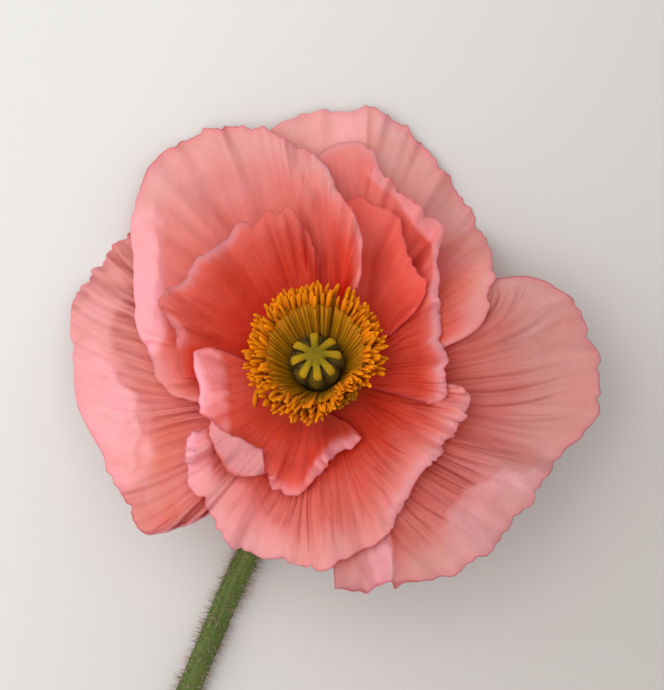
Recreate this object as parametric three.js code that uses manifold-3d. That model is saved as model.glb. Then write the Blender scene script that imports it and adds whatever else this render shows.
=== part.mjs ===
// A cut Iceland poppy laid on a surface: a semi-double bloom that faces up, on a bent, hairy, leafless stem.
// Millimetres, +Z up. The surface is z = 0 and the origin is the middle of the flower's footprint.
//
// Petals are sheets over a polar grid round the pole, the middle of the receptacle. They are listed from the
// lowest to the uppermost, and each is laid over the ones before it, so that none of them cross.

import * as THREE from "three";
import { mergeVertices } from "three/addons/utils/BufferGeometryUtils.js";
import Module from "manifold-3d";

const wasm = await Module();
wasm.setup();

// ---- driving dimensions: millimetres and degrees, azimuth 0 = +X and 90 = +Y ----

const POLE = [11.4, 48.8, 17.0]; // middle of the receptacle, above the surface
const BLOOM_TILT = 21; // the bloom's axis leans this far from straight up
const BLOOM_LEAN = 102; // azimuth that it leans toward
const AXIS_CROSSES = 2; // height over the pole at which the axis passes straight above it

const PETAL_THICK = 0.6;
const FLOOR_GAP = 0.1; // the least height of a petal over the surface
const LAYER_PITCH = 1.5; // upright distance from a petal's middle to that of the petal laid on it
const CLAW_PITCH = 1.15; // and the same at the pole
const PITCH_SPREAD = 15; // distance from the pole at which the layers have their full pitch
const LAYER_SOFT = 0.9; // how softly a petal bends where it comes to lie on another
const CLAW = 5.3; // distance from the pole at which the petals start
const SEAT = 6.5; // how far below the pole the lowest petals start
const SPREAD = 48; // distance from the pole at which their arch has died away
const EDGE_SOFT = 1.5; // margin past a petal's edge that the petals over it still clear
const EDGE_FALL = 0.5; // slope at which they sink beyond that margin
const EDGE_STEEPER = 0.07; // and how much steeper that grows with each millimetre

const RUFFLE_WAVES = [19, 12, 8.5]; // lengths of the waves along a rim
const RUFFLE_HIGH = [1.3, 0.8, 0.4]; // and their heights
const CRINKLE_WAVES = [9, 5.5]; // scallops of a rim's outline
const CRINKLE_HIGH = [0.5, 0.3];

const STEM_RADIUS = 2.05;
const STEM_SIDES = 10;
const STEM_STEPS = 44;
// Middle line of the stem from the receptacle to the cut end, from the pole in x and y, and from the surface in z.
const STEM_ROUTE = [
  [0.3, -1.6, 13.0], [0.5, -4.4, 8.4], [-0.6, -9.6, 4.6], [-4.0, -17.5, 2.9], [-9.5, -26.5, 2.6],
  [-15.5, -37.0, 2.5], [-25.5, -60.0, 2.35], [-40.0, -91.0, 2.2], [-55.5, -120.0, 2.1], [-72.5, -149.0, 2.1],
];
// Outline of the receptacle: [radius, height along the bloom's axis from the pole].
const RECEPTACLE = [[0, -6.8], [2.2, -6.6], [2.9, -5], [3.4, -3], [3.9, 0], [4.1, 2.9], [0, 2.9]];

const CAPSULE_RIBS = 8;
const CAPSULE_RIB_HIGH = 0.07; // as a share of the radius
const CAPSULE_ROUND = 32; // faces round the capsule
// Outline of the capsule: [radius, height along the bloom's axis from the pole].
const CAPSULE = [
  [0, 3.2], [2.1, 3.2], [2.3, 4.8], [3.4, 7.2], [4.4, 9.4], [4.6, 11.2], [4.1, 12.8], [3.0, 13.7], [0, 13.7],
];

const STIGMA_RAYS = 8;
const STIGMA_REACH = 4.7; // length of a ray from the middle
const STIGMA_BASE = 14.0; // height of its underside in the middle
const STIGMA_HUB = [2.0, 1.6]; // radius and height
const RAY_HALF = 0.62; // half the width of a ray
const RAY_HIGH = 1.1;
const RAY_DROOP = 1.2; // how far a ray's end hangs below its root

const STAMEN_ROWS = 3;
const STAMENS_IN_ROW = 34;
// Ring that the filaments grow from: [distance from the axis, height].
const COLLAR = [[3.0, 3.2], [4.1, 4.2], [5.7, 6.5], [5.3, 7.0], [3.5, 5.6]];
const COLLAR_ROUND = 34;
const FILAMENT_RADIUS = 0.32;
const FILAMENT_ROOTS = [4.0, 5.4]; // distance from the axis, of the inner and the outer row
const FILAMENT_START = 6.0; // height of the roots
const ANTHER_RADIUS = 0.72;
const ANTHER_LONG = 2.3;
const ANTHER_RING = [9.2, 12.2]; // distance from the axis, of the inner and the outer row
const ANTHER_HEIGHT = [15.6, 13.8]; // height, of the inner and the outer row

// Each petal: its rim as [azimuth, reach from the pole, lift over the bloom's plane, roll of the rim down], then the
// azimuths of its claw, how far it arches up before it spreads, how late it rises, how wide its rolled rim is, and
// the grid it is divided into.
const PETALS = [
  {
    name: "petal_outer_left", colour: 0xe39a96, claw: [138, 230], arch: 4.6, bend: 1, rollWide: 7, across: 22, along: 9,
    rim: [
      [132, 42, 1, 0], [140, 45.5, -3, 0], [147, 47.5, -4.4, 0], [156, 49, -4, 0.5], [163, 50, -2, 0.6],
      [170, 48.5, 0, 0.8], [177, 47.6, 2, 1], [185, 46, 3, 1], [193, 44, 3, 1], [201, 42.4, 3, 1],
      [212, 41.9, 3, 0.5], [222, 41.5, 3, 0], [226.5, 36.9, 3, 0], [231, 31, 3, 0],
    ],
  },
  {
    name: "petal_outer_right", colour: 0xe49c97, claw: [-86, 24], arch: 4.6, bend: 1, rollWide: 7, across: 28, along: 9,
    rim: [
      [-86, 37, 3, 0], [-76, 38.8, 2, 0], [-69, 39.1, 2, 0], [-61, 40.4, 2, 0.5], [-51, 42.3, 2, 0.8],
      [-42, 42.9, 2, 0.8], [-34, 43.2, 2, 0.8], [-26, 43.9, 2, 0.5], [-16, 46, 2, 0], [-10.7, 49.7, 2, 0.5],
      [-2.3, 51.1, 2, 0.8], [3.8, 51, 2, 0.8], [12.4, 50, 3, 0.8], [20.2, 47.4, 3, 0.5], [25.6, 43.3, 3, 0],
      [30, 36, 3, 0],
    ],
  },
  {
    name: "petal_outer_upper_right", colour: 0xe59d99, claw: [22, 108], arch: 4.6, bend: 1.2, rollWide: 7,
    across: 24, along: 9,
    rim: [
      [12, 26, 0, 0], [19, 28.5, -1, 0], [24, 32, -4, 0], [31, 37.4, -8, 0], [37, 40, -9.5, 0.3], [46, 42.8, -8, 0.5],
      [56, 45.4, -4, 0.5], [64.4, 48.2, 0, 0.5], [72.7, 51.3, 3, 0.5], [80, 53, 5, 0.5], [86, 52, 6, 0.5],
      [94.7, 51, 5.5, 0.3], [101.5, 49, 5, 0], [110, 44, 4, 0],
    ],
  },
  {
    name: "petal_lower", colour: 0xe08078, claw: [214, 350], arch: 2, bend: 1.1, rollWide: 6, across: 28, along: 8,
    rim: [
      [203, 25, 10, 0], [211, 27.8, 10, 1], [219, 30.1, 8, 1.5], [226, 30.2, 7, 1.5], [233, 31.6, 5, 1],
      [243, 33.8, 4, 0.8], [251, 33.9, 3, 0.8], [259, 32.9, 3, 0.8], [264, 33.3, 3, 0.8], [270, 33.6, 3, 0.8],
      [278, 32.1, 3, 0.8], [283, 31.7, 3, 0.8], [292.5, 29.9, 5, 0.8], [302.4, 26.5, 6, 1], [319, 24.6, 8, 1.2],
      [332, 25.1, 9, 1.2], [342, 25.8, 10, 1], [353, 27, 10, 0.5], [358, 24, 9, 0],
    ],
  },
  {
    name: "petal_inner_right", colour: 0xdb6e64, claw: [-8, 88], arch: 0, bend: 1.2, rollWide: 5, across: 26, along: 8,
    rim: [
      [-12, 20, 8, 0], [-7, 22.5, 8, 1], [2, 22.5, 9, 2], [13, 22.9, 10, 2], [26, 24.3, 11, 2],
      [37, 26.7, 12, 2], [45, 30.2, 12, 2], [48, 32.9, 12, 3], [52, 37.6, 9, 2], [57.5, 36.5, 10, 1],
      [67, 38.2, 9, 1], [75, 41.6, 8, 1], [78, 45.5, 8, 1], [84.3, 45.4, 8, 1], [89.8, 42.6, 8, 0.5],
      [96, 36, 7, 0],
    ],
  },
  {
    name: "petal_inner_upper", colour: 0xd8635a, claw: [40, 82], arch: 0, bend: 1.2, rollWide: 5, across: 16, along: 8,
    rim: [
      [33, 15, 7, 0], [37, 21.4, 12, 0], [40.4, 24.9, 13, 0.5], [45.7, 26.4, 14, 0.8], [54.8, 27.6, 14, 1],
      [60.2, 30.3, 13.5, 1], [66, 33.7, 12, 1], [73, 34.1, 10.5, 1], [80, 33.7, 10, 0.5], [88, 29, 9, 0],
    ],
  },
  {
    name: "petal_outer_upper_left", colour: 0xe28f8b, claw: [74, 182], arch: 3, bend: 1, rollWide: 7,
    across: 28, along: 9,
    rim: [
      [68, 20, 13, 0], [71, 27, 15, 0], [78.6, 32.1, 14, 0.5], [83, 36.8, 13, 1], [87.7, 41.8, 11, 0.5],
      [98.8, 45.8, 9, 0.4], [103.4, 49.2, 8, 0.4], [108, 50.6, 7, 0.6], [113, 52.2, 6, 0.8], [118.5, 53, 6, 0.8],
      [124.4, 52.8, 6, 0.6], [131, 51.6, 5, 0.5], [138, 49.2, 5, 1.5], [147.5, 43.6, 6, 3], [159.5, 38.4, 7, 4],
      [165, 36, 7, 3], [171, 32.6, 7, 1.5], [178, 30.6, 7, 1], [184, 28, 6, 0],
    ],
  },
  {
    name: "petal_inner_left", colour: 0xd96a60, claw: [96, 182], arch: 0, bend: 1.15, rollWide: 4.5,
    across: 24, along: 8,
    rim: [
      [91, 22, 15, 0], [95.7, 27.4, 17, 0.5], [99.2, 29.6, 18, 1], [102, 33.2, 18, 1.5], [107, 33.7, 18, 2],
      [112, 32.1, 18, 2], [117, 33, 18, 2], [121.3, 33.2, 18, 2.5], [131, 32.2, 17, 3], [139, 32.4, 16, 3.5],
      [148, 32.9, 15, 3.5], [154, 33.7, 14, 3], [158, 31, 13, 2], [163, 28, 12, 1], [169, 26.8, 11, 0.5],
      [180, 24, 10, 0],
    ],
  },
  {
    name: "petal_inner_front", colour: 0xdd766d, claw: [176, 292], arch: 0, bend: 1.1, rollWide: 5, across: 26, along: 8,
    rim: [
      [164, 20, 11, 0], [168, 23.4, 12, 0.5], [183, 22.1, 13, 2], [199, 21.9, 13, 2.5], [209, 22.4, 13, 2.5],
      [214.5, 22.2, 12, 2], [230, 22.2, 11, 2.5], [241, 18.6, 12, 2.5], [247.6, 21.2, 10, 2.5], [260, 20.8, 9, 2],
      [264, 17.8, 12, 1.5], [273, 15.1, 13, 1.5], [287.6, 14.4, 12, 1.5], [300, 13.2, 9, 1], [306, 11, 8, 0],
    ],
  },
];

// ---- helpers ----

const radians = THREE.MathUtils.degToRad;
const slopeOfPlane = Math.tan(radians(BLOOM_TILT));

// A number from 0 to 1 that repeats for the same seed, for phases that look random.
const shuffled = (seed) => (seed * 0.6180339887 + 0.37) % 1;

// The larger of two heights, with the crossing rounded off over about `soft`, and never below either.
const roundedMax = (a, b, soft) => (a + b + Math.hypot(a - b, soft)) / 2;

// A value of the rim's points at an azimuth, on a smooth curve through them.
function alongRim(rim, column, azimuth) {
  const last = rim.length - 1;
  const at = Math.min(Math.max(azimuth, rim[0][0]), rim[last][0]);
  let i = 0;
  while (i < last - 1 && at > rim[i + 1][0]) i += 1;
  const slope = (j) => {
    const before = rim[Math.max(j - 1, 0)];
    const after = rim[Math.min(j + 1, last)];
    return (after[column] - before[column]) / (after[0] - before[0]);
  };
  const step = rim[i + 1][0] - rim[i][0];
  const t = (at - rim[i][0]) / step;
  const easeOut = (1 + 2 * t) * (1 - t) ** 2;
  const easeIn = t * t * (3 - 2 * t);
  return easeOut * rim[i][column] + easeIn * rim[i + 1][column]
    + step * t * (1 - t) * ((1 - t) * slope(i) - t * slope(i + 1));
}

// Sum of waves along the rim, each with its own phase.
function waves(order, lengths, heights, arc) {
  return lengths.reduce(
    (sum, length, k) => sum + heights[k] * Math.sin(2 * Math.PI * (arc / length + shuffled(7 * order + k + 1))),
    0,
  );
}

// ---- petals ----

// First and last azimuth of a petal at a share of its length, 0 at the claw and 1 at the rim.
function spanOf(petal, share) {
  const spread = 1 - (1 - share) ** 2;
  const first = petal.rim[0][0];
  const last = petal.rim[petal.rim.length - 1][0];
  return [
    petal.claw[0] + (first - petal.claw[0]) * spread,
    petal.claw[1] + (last - petal.claw[1]) * spread,
  ];
}

function reachOf(petal, order, azimuth) {
  const reach = alongRim(petal.rim, 1, azimuth);
  return reach + waves(order + 20, CRINKLE_WAVES, CRINKLE_HIGH, radians(azimuth) * reach);
}

// Height that a petal would take on its own, at a distance and azimuth from the pole.
function freeHeight(petal, order, distance, azimuth) {
  const reach = alongRim(petal.rim, 1, azimuth);
  const lift = alongRim(petal.rim, 2, azimuth);
  const roll = alongRim(petal.rim, 3, azimuth);
  const share = distance / reach;
  const plane = -slopeOfPlane * distance * Math.cos(radians(azimuth - BLOOM_LEAN));
  const out = Math.min(distance / SPREAD, 1);
  const arch = petal.arch * 6.75 * out * (1 - out) ** 2 - SEAT * (1 - out) ** 4;
  const rolled = Math.max((distance - reach) / petal.rollWide + 1, 0) ** 2;
  const ruffle = waves(order, RUFFLE_WAVES, RUFFLE_HIGH, radians(azimuth) * reach) * Math.min(share, 1.1) ** 3;
  return POLE[2] + plane + lift * share ** petal.bend + arch - roll * rolled + ruffle;
}

// How far past a petal's edge a place lies, 0 on the petal.
function pastEdge(petal, distance, azimuth) {
  const reach = alongRim(petal.rim, 1, azimuth);
  const share = Math.min(Math.max((distance - CLAW) / (reach - CLAW), 0), 1);
  const [first, last] = spanOf(petal, share);
  const aside = distance * radians(Math.max(first - azimuth, azimuth - last, 0));
  return Math.hypot(Math.max(distance - reach, 0), aside);
}

// The azimuth with whole turns added, to lie nearest to a petal's middle.
function unwound(petal, azimuth) {
  const middle = (petal.claw[0] + petal.claw[1]) / 2;
  return azimuth - 360 * Math.round((azimuth - middle) / 360);
}

// Height of the middle of petal number `order`, laid over the surface and the petals before it.
function heightOf(order, distance, azimuth) {
  const pitch = LAYER_PITCH - (LAYER_PITCH - CLAW_PITCH) * Math.max(1 - distance / PITCH_SPREAD, 0);
  let below = PETAL_THICK / 2 + FLOOR_GAP - pitch;
  let height = below;
  for (let i = 0; i <= order; i += 1) {
    const petal = PETALS[i];
    const turned = unwound(petal, azimuth);
    height = roundedMax(freeHeight(petal, i, distance, turned), below + pitch, LAYER_SOFT);
    const past = Math.max(pastEdge(petal, distance, turned) - EDGE_SOFT, 0);
    below = Math.max(below, height - EDGE_FALL * past - EDGE_STEEPER * past * past);
  }
  return height;
}

// A closed sheet: a grid of middle points, thickened evenly to both sides, split into triangles alike on both faces.
function sheetGeometry(columns, rows, middle, thickness) {
  const points = [];
  for (let row = 0; row <= rows; row += 1) {
    for (let column = 0; column <= columns; column += 1) points.push(middle(column / columns, row / rows));
  }
  const index = (column, row) => row * (columns + 1) + column;
  const halves = [];
  for (let row = 0; row < rows; row += 1) {
    for (let column = 0; column < columns; column += 1) {
      const [a, b] = [index(column, row), index(column + 1, row)];
      const [c, d] = [index(column + 1, row + 1), index(column, row + 1)];
      if ((row + column) % 2) halves.push([a, b, c], [a, c, d]);
      else halves.push([a, b, d], [b, c, d]);
    }
  }
  const normals = points.map(() => new THREE.Vector3());
  for (const [a, b, c] of halves) {
    const face = new THREE.Vector3().subVectors(points[b], points[a]);
    face.cross(new THREE.Vector3().subVectors(points[c], points[a]));
    for (const corner of [a, b, c]) normals[corner].add(face);
  }
  const up = points.map((p, i) => p.clone().addScaledVector(normals[i].clone().normalize(), thickness / 2));
  const down = points.map((p, i) => p.clone().addScaledVector(normals[i].clone().normalize(), -thickness / 2));
  const count = points.length;
  const faces = halves.flatMap(([a, b, c]) => [[a, b, c], [c + count, b + count, a + count]]);
  const rimOfGrid = [];
  for (let column = 0; column < columns; column += 1) rimOfGrid.push(index(column, 0));
  for (let row = 0; row < rows; row += 1) rimOfGrid.push(index(columns, row));
  for (let column = columns; column > 0; column -= 1) rimOfGrid.push(index(column, rows));
  for (let row = rows; row > 0; row -= 1) rimOfGrid.push(index(0, row));
  rimOfGrid.forEach((a, i) => {
    const b = rimOfGrid[(i + 1) % rimOfGrid.length];
    faces.push([b, a, a + count], [b, a + count, b + count]);
  });
  return closedGeometry([...up, ...down], faces);
}

function closedGeometry(points, faces) {
  const geometry = new THREE.BufferGeometry();
  geometry.setAttribute("position", new THREE.Float32BufferAttribute(points.flatMap((p) => p.toArray()), 3));
  geometry.setIndex(faces.flat());
  return geometry;
}

function petalGeometry(petal, order) {
  const middle = (across, share) => {
    const [first, last] = spanOf(petal, share);
    const azimuth = first + (last - first) * across;
    const distance = CLAW + (reachOf(petal, order, azimuth) - CLAW) * share;
    return new THREE.Vector3(
      distance * Math.cos(radians(azimuth)),
      distance * Math.sin(radians(azimuth)),
      heightOf(order, distance, azimuth) - POLE[2],
    );
  };
  return sheetGeometry(petal.across, petal.along, (across, share) => middle(1 - across, share), PETAL_THICK);
}

// ---- solids of the middle, joined with manifold ----

function solidOf(geometry) {
  const bare = geometry.clone();
  bare.deleteAttribute("normal");
  bare.deleteAttribute("uv");
  const merged = mergeVertices(bare, 1e-4);
  const mesh = new wasm.Mesh({
    numProp: 3,
    vertProperties: new Float32Array(merged.attributes.position.array),
    triVerts: new Uint32Array(merged.index.array),
  });
  return new wasm.Manifold(mesh);
}

function geometryOf(solid) {
  const mesh = solid.getMesh();
  const geometry = new THREE.BufferGeometry();
  geometry.setAttribute("position", new THREE.BufferAttribute(new Float32Array(mesh.vertProperties), 3));
  geometry.setIndex(new THREE.BufferAttribute(new Uint32Array(mesh.triVerts), 1));
  return geometry;
}

// Turns a shape made round +Z at the origin so that it stands on the bloom's axis at the pole.
const bloomTurn = new THREE.Matrix4()
  .makeTranslation(
    -AXIS_CROSSES * slopeOfPlane * Math.cos(radians(BLOOM_LEAN)),
    -AXIS_CROSSES * slopeOfPlane * Math.sin(radians(BLOOM_LEAN)),
    0,
  )
  .multiply(new THREE.Matrix4().makeRotationAxis(
    new THREE.Vector3(-Math.sin(radians(BLOOM_LEAN)), Math.cos(radians(BLOOM_LEAN)), 0),
    radians(BLOOM_TILT),
  ));

// A round shape from an outline of [radius, height] points, whose faces point out when the heights rise.
function turned(outline, round) {
  const geometry = new THREE.LatheGeometry(outline.map(([r, h]) => new THREE.Vector2(r, h)), round);
  return geometry.rotateX(Math.PI / 2);
}

function stemSolid() {
  const route = new THREE.CatmullRomCurve3(
    STEM_ROUTE.map(([x, y, z]) => new THREE.Vector3(x, y, z - POLE[2])),
    false,
    "centripetal",
  );
  const section = new THREE.Shape();
  for (let side = 0; side < STEM_SIDES; side += 1) {
    const angle = (2 * Math.PI * side) / STEM_SIDES;
    const corner = [STEM_RADIUS * Math.cos(angle), STEM_RADIUS * Math.sin(angle)];
    if (side === 0) section.moveTo(...corner);
    else section.lineTo(...corner);
  }
  section.closePath();
  const tube = new THREE.ExtrudeGeometry(section, { steps: STEM_STEPS, bevelEnabled: false, extrudePath: route });
  const receptacle = turned(RECEPTACLE, 20).applyMatrix4(bloomTurn);
  return solidOf(tube).add(solidOf(receptacle));
}

function capsuleGeometry() {
  const geometry = turned(CAPSULE, CAPSULE_ROUND);
  const position = geometry.attributes.position;
  for (let i = 0; i < position.count; i += 1) {
    const angle = Math.atan2(position.getY(i), position.getX(i));
    const height = position.getZ(i);
    const rib = 1 + CAPSULE_RIB_HIGH * Math.cos(CAPSULE_RIBS * angle) * (height > CAPSULE[1][1] ? 1 : 0);
    position.setXY(i, position.getX(i) * rib, position.getY(i) * rib);
  }
  return geometry.applyMatrix4(bloomTurn);
}

// A rod of rings of four points each, closed at both ends. Each ring is [middle, half width, half height].
function rodGeometry(rings, side, above) {
  const points = [];
  for (const [middle, wide, high] of rings) {
    points.push(
      middle.clone().addScaledVector(side, wide),
      middle.clone().addScaledVector(above, high),
      middle.clone().addScaledVector(side, -wide),
      middle.clone().addScaledVector(above, -high),
    );
  }
  const faces = [[2, 1, 0], [3, 2, 0]];
  for (let ring = 0; ring < rings.length - 1; ring += 1) {
    for (let corner = 0; corner < 4; corner += 1) {
      const a = 4 * ring + corner;
      const b = 4 * ring + ((corner + 1) % 4);
      faces.push([a, b, b + 4], [a, b + 4, a + 4]);
    }
  }
  const end = 4 * (rings.length - 1);
  faces.push([end, end + 1, end + 2], [end, end + 2, end + 3]);
  return closedGeometry(points, faces);
}

function stigmaSolid() {
  const [hubRadius, hubHigh] = STIGMA_HUB;
  let solid = solidOf(turned(
    [[0, STIGMA_BASE], [hubRadius, STIGMA_BASE], [hubRadius * 0.8, STIGMA_BASE + hubHigh],
      [0, STIGMA_BASE + hubHigh]],
    16,
  ));
  for (let ray = 0; ray < STIGMA_RAYS; ray += 1) {
    const angle = (2 * Math.PI * (ray + 0.5)) / STIGMA_RAYS;
    const out = new THREE.Vector3(Math.cos(angle), Math.sin(angle), 0);
    const side = new THREE.Vector3(-Math.sin(angle), Math.cos(angle), 0);
    const above = new THREE.Vector3(0, 0, 1);
    const rings = [0, 0.35, 0.7, 0.9, 1].map((share) => {
      const middle = out.clone().multiplyScalar(STIGMA_REACH * share);
      middle.z = STIGMA_BASE + hubHigh - RAY_HIGH / 2 - RAY_DROOP * share * share;
      const end = share < 1 ? 1 : 0.6;
      return [middle, RAY_HALF * (0.7 + 0.5 * share) * end, (RAY_HIGH / 2) * end];
    });
    solid = solid.add(solidOf(rodGeometry(rings, side, above)));
  }
  return solid;
}

function stamensSolid() {
  const parts = [solidOf(turned([...COLLAR, COLLAR[0]], COLLAR_ROUND))];
  const between = ([inner, outer], share) => inner + (outer - inner) * share;
  for (let row = 0; row < STAMEN_ROWS; row += 1) {
    for (let i = 0; i < STAMENS_IN_ROW; i += 1) {
      const seed = STAMENS_IN_ROW * row + i + 1;
      const angle = (2 * Math.PI * (i + row / STAMEN_ROWS + 0.4 * shuffled(3 * seed))) / STAMENS_IN_ROW;
      const out = new THREE.Vector3(Math.cos(angle), Math.sin(angle), 0);
      const side = new THREE.Vector3(-Math.sin(angle), Math.cos(angle), 0);
      const place = (distance, height) => out.clone().multiplyScalar(distance).setZ(height);
      const share = row / (STAMEN_ROWS - 1);
      const root = place(between(FILAMENT_ROOTS, share), FILAMENT_START);
      const tip = place(
        between(ANTHER_RING, share) - ANTHER_LONG / 2 + 0.8 * shuffled(5 * seed),
        between(ANTHER_HEIGHT, share) - ANTHER_LONG / 2 + 1.2 * shuffled(11 * seed),
      );
      const along = tip.clone().sub(root).normalize();
      const above = new THREE.Vector3().crossVectors(along, side);
      const onAnther = (part) => tip.clone().addScaledVector(along, ANTHER_LONG * part);
      parts.push(solidOf(rodGeometry([
        [root, FILAMENT_RADIUS, FILAMENT_RADIUS],
        [tip, FILAMENT_RADIUS, FILAMENT_RADIUS],
        [onAnther(0.25), ANTHER_RADIUS, ANTHER_RADIUS],
        [onAnther(1), ANTHER_RADIUS * 0.6, ANTHER_RADIUS * 0.6],
      ], side, above)));
    }
  }
  return wasm.Manifold.union(parts);
}

// ---- the flower ----

const flower = new THREE.Group();
flower.position.set(...POLE);

function addPiece(name, geometry, colour, roughness) {
  const material = new THREE.MeshStandardMaterial({ color: colour, roughness, metalness: 0 });
  const mesh = new THREE.Mesh(geometry, material);
  mesh.name = name;
  flower.add(mesh);
}

addPiece("stem", geometryOf(stemSolid()), 0x6b8440, 0.6);
PETALS.forEach((petal, order) => addPiece(petal.name, petalGeometry(petal, order), petal.colour, 0.55));
addPiece("stamens", geometryOf(stamensSolid()).applyMatrix4(bloomTurn), 0xe39a17, 0.6);
addPiece("pistil_capsule", capsuleGeometry(), 0x4c5a22, 0.7);
addPiece("pistil_stigma", geometryOf(stigmaSolid()).applyMatrix4(bloomTurn), 0x9aa51e, 0.6);

export default flower;
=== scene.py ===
# A cut Iceland poppy laid on a pale surface, seen from above: a semi-double bloom of crinkled, silky petals
# on a hairy stem. Lengths are in millimetres in the formulas and become metres where a mesh is made. Those
# of the materials and the lamps are in metres.
#
# Petals are sheets over a polar grid round the pole, the middle of the receptacle. They are listed from the
# lowest to the uppermost, and each is laid over the ones before it, so that none of them cross.

import math
from functools import partial

import bpy
import numpy as np
from mathutils import Matrix, Vector


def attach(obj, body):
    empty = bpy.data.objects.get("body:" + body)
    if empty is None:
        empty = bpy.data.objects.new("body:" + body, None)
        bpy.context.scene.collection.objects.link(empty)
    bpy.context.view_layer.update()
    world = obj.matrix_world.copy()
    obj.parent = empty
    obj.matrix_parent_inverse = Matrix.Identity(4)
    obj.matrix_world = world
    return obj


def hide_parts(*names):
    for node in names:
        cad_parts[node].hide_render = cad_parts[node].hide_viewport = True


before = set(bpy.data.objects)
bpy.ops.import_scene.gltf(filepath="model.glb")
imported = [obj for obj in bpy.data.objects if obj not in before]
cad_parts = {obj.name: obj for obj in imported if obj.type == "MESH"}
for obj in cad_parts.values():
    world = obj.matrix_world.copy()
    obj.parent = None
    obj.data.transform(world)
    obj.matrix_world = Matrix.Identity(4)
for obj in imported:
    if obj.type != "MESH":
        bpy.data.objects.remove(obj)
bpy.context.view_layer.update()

MM = 0.001

# ---- the flower's plan: millimetres and degrees, azimuth 0 = +X and 90 = +Y ----

POLE = np.array([11.4, 48.8, 17.0])  # middle of the receptacle, above the surface
BLOOM_TILT = 21  # the bloom's axis leans this far from straight up
BLOOM_LEAN = 102  # azimuth that it leans toward
AXIS_CROSSES = 2  # height over the pole at which the axis passes straight above it

PETAL_THICK = 0.16  # of the tissue as it is shown
SOLID_THICK = 0.6  # of the plain solids that the petals stand for, which sets how they stack
FLOOR_GAP = 0.1  # the least height of a solid's underside over the surface
LOWEST = 0.13  # the least height of the middle of the tissue
LOWEST_SOFT = 0.4  # how softly a petal bends where it would reach lower
LAYER_PITCH = 1.5  # upright distance from a petal's middle to that of the petal laid on it
CLAW_PITCH = 1.15  # and the same at the pole
PITCH_SPREAD = 15  # distance from the pole at which the layers have their full pitch
LAYER_SOFT = 0.9  # how softly a petal bends where it comes to lie on another
CLAW = 5.3  # distance from the pole at which the petals start
SEAT = 6.5  # how far below the pole the lowest petals start
SPREAD = 48  # distance from the pole at which their arch has died away
HEART_WIDE = 13  # distance from the pole within which the colour is deepest
EDGE_SOFT = 1.5  # margin past a petal's edge that the petals over it still clear
EDGE_FALL = 0.5  # slope at which they sink beyond that margin
EDGE_STEEPER = 0.07  # and how much steeper that grows with each millimetre

RUFFLE_WAVES = [19, 12, 8.5]  # lengths of the waves along a rim
RUFFLE_HIGH = [1.3, 0.8, 0.4]  # and their heights
FRILL_WAVES = [5.6, 3.7]  # the small frills right at the rim
FRILL_HIGH = [0.32, 0.2]
CRINKLE_WAVES = [9, 5.5, 2.9, 1.9]  # scallops of a rim's outline
CRINKLE_HIGH = [0.36, 0.26, 0.17, 0.1]
DENT_WIDE = 7.5  # size of the soft dents all over the bloom
DENT_DEEP = 0.7

COLUMN_WIDE = 0.32  # spacing of a petal's grid along its rim
ROW_LONG = 0.62  # and from claw to rim
LIP_ROWS = 10  # rows of the lip, the turned edge beyond the rim
LIP_LONG = 0.5  # length of the lip where nothing more is said of it
LIP_TURN = 55  # and the most that it turns up or down there, in degrees
LIP_CURL = 1.5  # length within which a longer lip makes its turn
LIP_STEPS = 24  # straight steps that its curl is worked out in
SLOPE_STEP = 0.4  # distance over which the slope at a place is measured
SEAM_GAP = 0.0005  # the most between corners that meet where a sheet is rolled up

PALE_AND_HIGHLIT_FADES = 0.6  # deep colour lost in the palest places: paler tissue and painted highlight
PAINTED_HIGHLIGHT_BRIGHTENS = 0.16  # and how much brighter they are, as painted highlight
CREASE_PAINTED_SHADE = 0.28  # deep colour painted as shade beside a crease of paleness -1

# Each petal, from the lowest to the uppermost:
# claw: first and last azimuth of its claw; arch: how far it arches up before it spreads; bend: how late it
# rises; roll_wide, ruffle: width of its rolled rim, and the share of the ruffles that it has;
# pleat, pleat_wide, pleat_out, swirl: depth of its pleats, their spacing in degrees, the share of its length
# at which they end, and how far they turn on their way out, in degrees;
# dark, vein: how dark the pleats and the veins are, where the darkness of the pleats is partly painted shade
# in their valleys;
# heart, deep, glow, fade, border: how far out its deep colour fades, how much there is of it at the heart
# and at the rim, the width of the paler border, and the share of the colour that is left in it;
# pale, tone, peach: how pale its rolled rim is, partly paler tissue and partly a painted highlight, its
# brightness, painted shade and light for how the light reaches the petal, and how peach it is rather
# than pink;
# rim: [azimuth, reach from the pole, lift over the bloom's plane, roll of the rim down];
# folds: [azimuth, distance from the pole, half size across, half size outward, turn in degrees, height];
# lips: the stretches whose edge is turned over, as [starts, whole from, whole to, ends, length, turn,
# paleness], with azimuths first, and the turn in degrees: up and inward, or down and under if negative, and
# the paleness partly paler tissue and partly a painted highlight;
# smooth: places without pleats, as [azimuth, distance from the pole, radius, height, paleness], the
# paleness partly paler tissue and partly a painted highlight;
# creases: straight, sharp crests, as [azimuth and distance of one end, and of the other, width of the slope
# to the right, and to the left, height, paleness]: the colour is paler to the left of one, a painted
# highlight, and deeper to its right, a painted shade, and a negative paleness paints shade on the left side
# alone; stray: how far they wander.
# What a petal has unless it says otherwise.
PLAIN = dict(
    arch=0, bend=1, roll_wide=7, ruffle=1, pleat_wide=6, pleat_out=0.98, swirl=0, fade=8, pale=0.1, stray=1,
    folds=(), lips=(), smooth=(), creases=(),
)
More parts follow.
